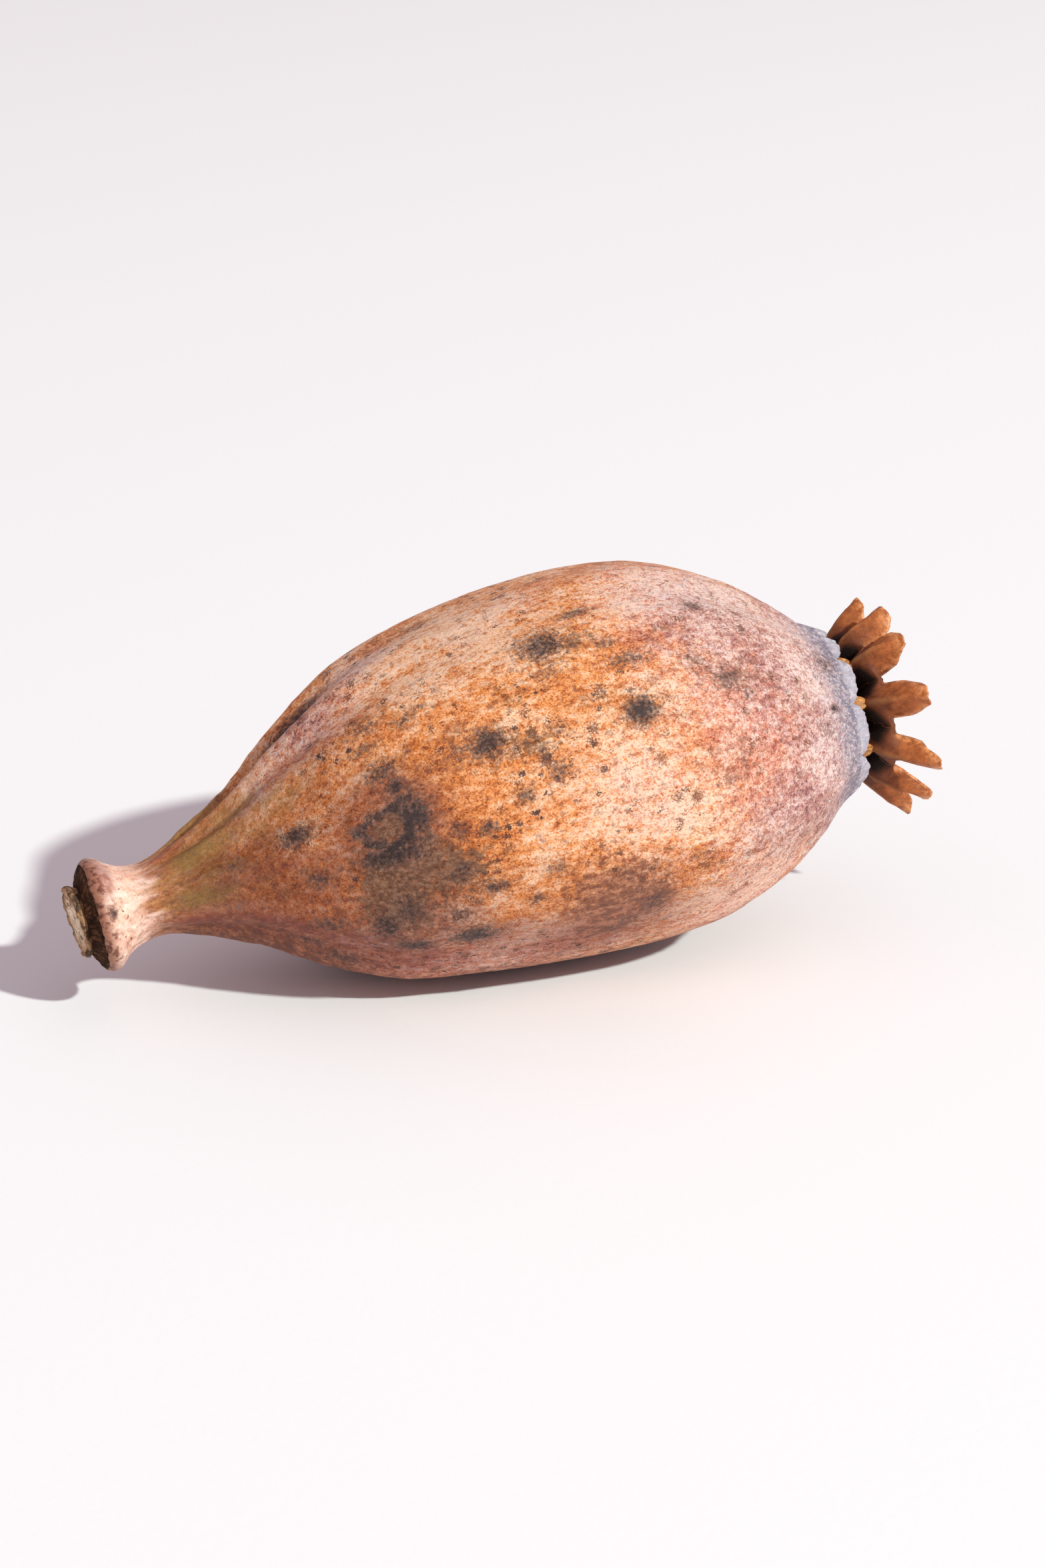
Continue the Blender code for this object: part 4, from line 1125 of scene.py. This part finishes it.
    # Brown and grey patches, painted shade on the underside, and dark mould
    sheet.paint(sheet.ragged("bruise_and_underside_shade", growth, 1.7, 2.6, 0.5, 0.3) * 0.8, (medium + fine * 0.8).ramp(
        (0.62, (92, 60, 56)), (0.9, skin.bruise_and_underside_shade), (1.1, (168, 104, 74))
    ))
    crust = sheet.ragged("crust", growth, 1.5, 2.4, 0.48, 0.26)
    sheet.paint(crust * 0.84, (fine + hairs * 0.5).ramp(
        (0.56, (66, 40, 28)), (0.74, skin.crust), (0.92, (164, 124, 98))
    ))
    sheet.paint(sheet.ragged("mould", growth, 2.2, 3, 0.42, 0.36) * 0.6, (132, 90, 74))
    mould = sheet.ragged("mould", growth, 3.2, 3.1, 0.5, 0.34)
    sheet.paint(mould * 0.8, fine.ramp((0.38, (52, 36, 32)), (0.52, skin.mould), (0.66, (122, 102, 98))))
    sheet.paint(sheet.ragged("mould", growth, 3, 2.6, 0.72, 0.2) * 0.8, (40, 27, 26))

    # The scar's crest, the speckled neck and the inside
    speckled = sheet.flecks(growth, (1.5, 1.5, 1.5), (0, 0, 0), 6, 0.48, 0.62)
    sheet.paint(along.band(0.2, 1.9, 1, 0) * speckled * 0.8, (128, 60, 30))
    dots = sheet.flecks(growth, (2.2, 2.2, 2.2), (3, 3, 8), 4, 0.63, 0.68)
    sheet.paint(dots * along.band(2.5, 6.5, 0.85, 0), (120, 52, 28))
    sheet.paint(along.band(-0.1, 1, 0.9, 0), sheet.blend(speckled, (150, 96, 72), (84, 44, 28)))
    sheet.paint(sheet.field("inside"), (92, 60, 34))

    dry = fine * 0.24 + haze.most(frost).most(crust) * 0.22 + 0.38
    height = fine + hairs * 0.5 + pores * 0.3 + crust * (fine * 1.2) - mould * 0.25
    calm = along.band(1, 9, 0.3, 1) * along.band(62, 69, 1, 0.3)
    return sheet.finish(dry, 0.35, height * calm, 0.14 * MM, 0.85)


def scar_material(skin):
    """The dry dark band between the rim's crest and the broken stalk."""
    sheet = new_material("scar_bark")
    growth = sheet.growth()
    ridges = sheet.cloud(growth, (2.2, 0.8, 0.8), 6, 0.65)
    grit = sheet.cloud(growth, 3, 5, 0.7)
    sheet.colour = (ridges * grit).ramp((0.14, (16, 8, 4)), (0.26, skin.scar), (0.42, (128, 84, 54)))
    return sheet.finish(0.85, 0.1, ridges + grit, 0.25 * MM, 0.8)


def crown_material(settings):
    """Papery cinnamon rays: painted shade in the folds and pores and at the bases, painted light and rubbed paper at
    the tips, finely wrinkled along.
    """
    sheet = new_material("ray_paper")
    place = sheet.millimetres()
    reach = sheet.field("reach")
    off_keel = sheet.level("ShaderNodeMath", {0: sheet.field("width")}, operation="ABSOLUTE")
    fibre = sheet.cloud(place, (0.5, 2.2, 2.2), 6, 0.65)
    mottle = sheet.cloud(place, 1.2, 6, 0.65)
    # The rays lighten towards their tips: partly their own colour, partly painted light
    lit = mottle.band(0.3, 0.75, 0, 0.6) + reach.band(0, 0.9, -0.15, 0.45)
    sheet.colour = sheet.blend(lit, settings.brown, settings.light)
    sheet.paint(fibre.band(0.36, 0.55, 0.25, 0), (98, 50, 28))
    sheet.paint(off_keel.band(0.02, 0.2, 1, 0) * reach.band(0, 0.75, 1, 0) * 0.55, (204, 140, 84))
    # Painted shade: the rays darker towards their bases, where the neighbouring rays shade them
    sheet.paint(reach.band(0, 0.55, 0.55, 0), (92, 46, 24))
    # Painted shade: the web between the keels, round the pores under the crown, near black where the crown shades it
    sheet.paint(off_keel.band(0.12, 0.4) * reach.band(-0.22, 0.02, 1, 0) * 0.97, settings.dark)
    # Lighter margins and tips: partly rubbed paper, partly painted highlight
    rubbed_and_lit_edges = off_keel.band(0.72, 1).most(reach.band(0.7, 1)) * mottle.band(0.4, 0.6)
    sheet.paint(rubbed_and_lit_edges * reach.band(0.1, 0.5) * 0.75, (228, 158, 104))
    sheet.paint((sheet.cells(place, 2.6) * mottle).band(0.05, 0.12, 1, 0) * 0.4, (84, 48, 26))
    height = fibre + sheet.cells(place, 3.2) * reach.band(0.5, 1, 0.1, 0.9)
    return sheet.finish(reach.band(0.45, 1, 0.6, 0.28) + mottle * 0.15, 0.35, height, 0.1 * MM, 0.6)


def papilla_material(settings):
    """The velvety ridge grains: dark brown, a little lighter on some."""
    sheet = new_material("papilla_velvet")
    tone = sheet.cloud(sheet.millimetres(), 1.6)
    sheet.colour = sheet.blend(tone.band(0.4, 0.62), settings.dark, settings.brown)
    return sheet.finish(0.8)


def strut_material(settings):
    """Golden, fibrous ends of the partitions."""
    sheet = new_material("partition_fibre")
    place = sheet.millimetres()
    fibre = sheet.cloud(place, (0.4, 3, 3), 6, 0.7)
    sheet.colour = sheet.blend(fibre.band(0.36, 0.66), (120, 66, 28), settings.strut)
    sheet.paint(sheet.cloud(place, 1.5, 5).band(0.5, 0.72, 0, 0.6), (236, 186, 120))
    return sheet.finish(fibre * 0.2 + 0.5, height=fibre, depth=0.12 * MM)


def stalk_material(settings):
    """Dry pith and torn rind: pale, with painted shade in the hollows of its relief, and brown at the base."""
    sheet = new_material("stalk_pith")
    place = sheet.millimetres()
    lumps = sheet.cloud(place, 0.9, 6, 0.7, 0.6)
    fibre = sheet.cloud(place, (0.5, 2.6, 2.6), 5, 0.65)
    core = sheet.field("core") + (lumps - 0.5)
    sheet.colour = sheet.blend(core.band(0.05, 0.42), (176, 130, 92), settings.pith)
    # Painted shade: the rind's dark colour laid in the hollows of the relief
    sheet.paint(lumps.band(0.38, 0.5, 0.85, 0), settings.rind)
    sheet.paint(core.band(-0.12, 0.06, 0.9, 0), (64, 42, 22))
    sheet.paint(fibre.band(0.44, 0.6) * core.band(0.25, 0.6) * 0.9, (252, 234, 210))
    return sheet.finish(0.85, height=lumps + fibre * 0.6, depth=0.3 * MM)


def floor_material(stage):
    """Smooth pale card with a faint tooth."""
    sheet = new_material("floor_card")
    sheet.colour = stage.floor
    tooth = sheet.cloud(sheet.get("ShaderNodeTexCoord", "Object"), 900)
    return sheet.finish(0.9, 0.1, tooth, 0.05 * MM, 0.3)


# ---------------------------------------------------------------- stage


def add_floor(stage):
    corners = [(-FLOOR_HALF, -FLOOR_HALF, 0), (FLOOR_HALF, -FLOOR_HALF, 0)]
    corners += [(-x, -y, 0) for x, y, _ in corners]
    floor = add_mesh("floor", corners, [(0, 1, 2, 3)])
    floor.data.materials.append(floor_material(stage))


def add_key(stage):
    light = bpy.data.lights.new("key", "AREA")
    light.shape = "DISK"
    light.size = stage.key_size
    light.energy = stage.key
    light.color = KEY_COLOUR
    key = add_object("key", light)
    level = math.cos(KEY_ELEVATION)
    towards = Vector((level * math.cos(KEY_AZIMUTH), level * math.sin(KEY_AZIMUTH), math.sin(KEY_ELEVATION)))
    key.location = AIM + towards * KEY_DISTANCE
    key.rotation_euler = towards.to_track_quat("Z", "Y").to_euler()


def add_world(stage):
    world = bpy.data.worlds.new("studio")
    world.use_nodes = True
    background = world.node_tree.nodes["Background"]
    background.inputs["Color"].default_value = stage.fill_colour
    background.inputs["Strength"].default_value = stage.fill
    bpy.context.scene.world = world


def add_camera():
    lens = bpy.data.cameras.new("camera")
    lens.lens = CAMERA_LENS
    lens.clip_start = 0.01
    lens.clip_end = 20.0
    camera = add_object("camera", lens)
    camera.rotation_euler = Euler((math.pi / 2 - CAMERA_ELEVATION, 0, CAMERA_AZIMUTH))
    camera.location = AIM + camera.rotation_euler.to_matrix() @ Vector((0, 0, CAMERA_DISTANCE))
    bpy.context.scene.camera = camera


class SEEDHEAD_OT_stage(bpy.types.Operator):
    """Set up the floor, the lights and the camera"""

    bl_idname = "seedhead.stage"
    bl_label = "Stage"

    def execute(self, context):
        stage = context.scene.seedhead_stage
        add_floor(stage)
        add_key(stage)
        add_world(stage)
        add_camera()
        context.scene.view_settings.view_transform = "Standard"
        return {"FINISHED"}


class SEEDHEAD_PT_panel(bpy.types.Panel):
    bl_label = "Seed Head"
    bl_idname = "SEEDHEAD_PT_panel"
    bl_space_type = "VIEW_3D"
    bl_region_type = "UI"
    bl_category = "Seed Head"

    def draw(self, context):
        for operator in OPERATORS:
            self.layout.operator(operator.bl_idname)
        for name in SETTINGS:
            settings = getattr(context.scene, name)
            box = self.layout.box()
            for label in settings.__annotations__:
                box.prop(settings, label)


OPERATORS = (
    SEEDHEAD_OT_pod,
    SEEDHEAD_OT_partition_ends,
    SEEDHEAD_OT_crown,
    SEEDHEAD_OT_stalk,
    SEEDHEAD_OT_stage,
)
SETTINGS = {
    "seedhead_skin": SkinSettings,
    "seedhead_crown": CrownSettings,
    "seedhead_stalk": StalkSettings,
    "seedhead_stage": StageSettings,
}
CLASSES = (*SETTINGS.values(), *OPERATORS, SEEDHEAD_PT_panel)


def register():
    for cls in CLASSES:
        bpy.utils.register_class(cls)
    for name, group in SETTINGS.items():
        setattr(bpy.types.Scene, name, PointerProperty(type=group))


def unregister():
    for name in SETTINGS:
        delattr(bpy.types.Scene, name)
    for cls in reversed(CLASSES):
        bpy.utils.unregister_class(cls)


def main():
    register()
    bpy.ops.seedhead.pod()
    bpy.ops.seedhead.partition_ends()
    bpy.ops.seedhead.crown()
    bpy.ops.seedhead.stalk()
    bpy.ops.seedhead.stage()


if __name__ == "__main__":
    main()
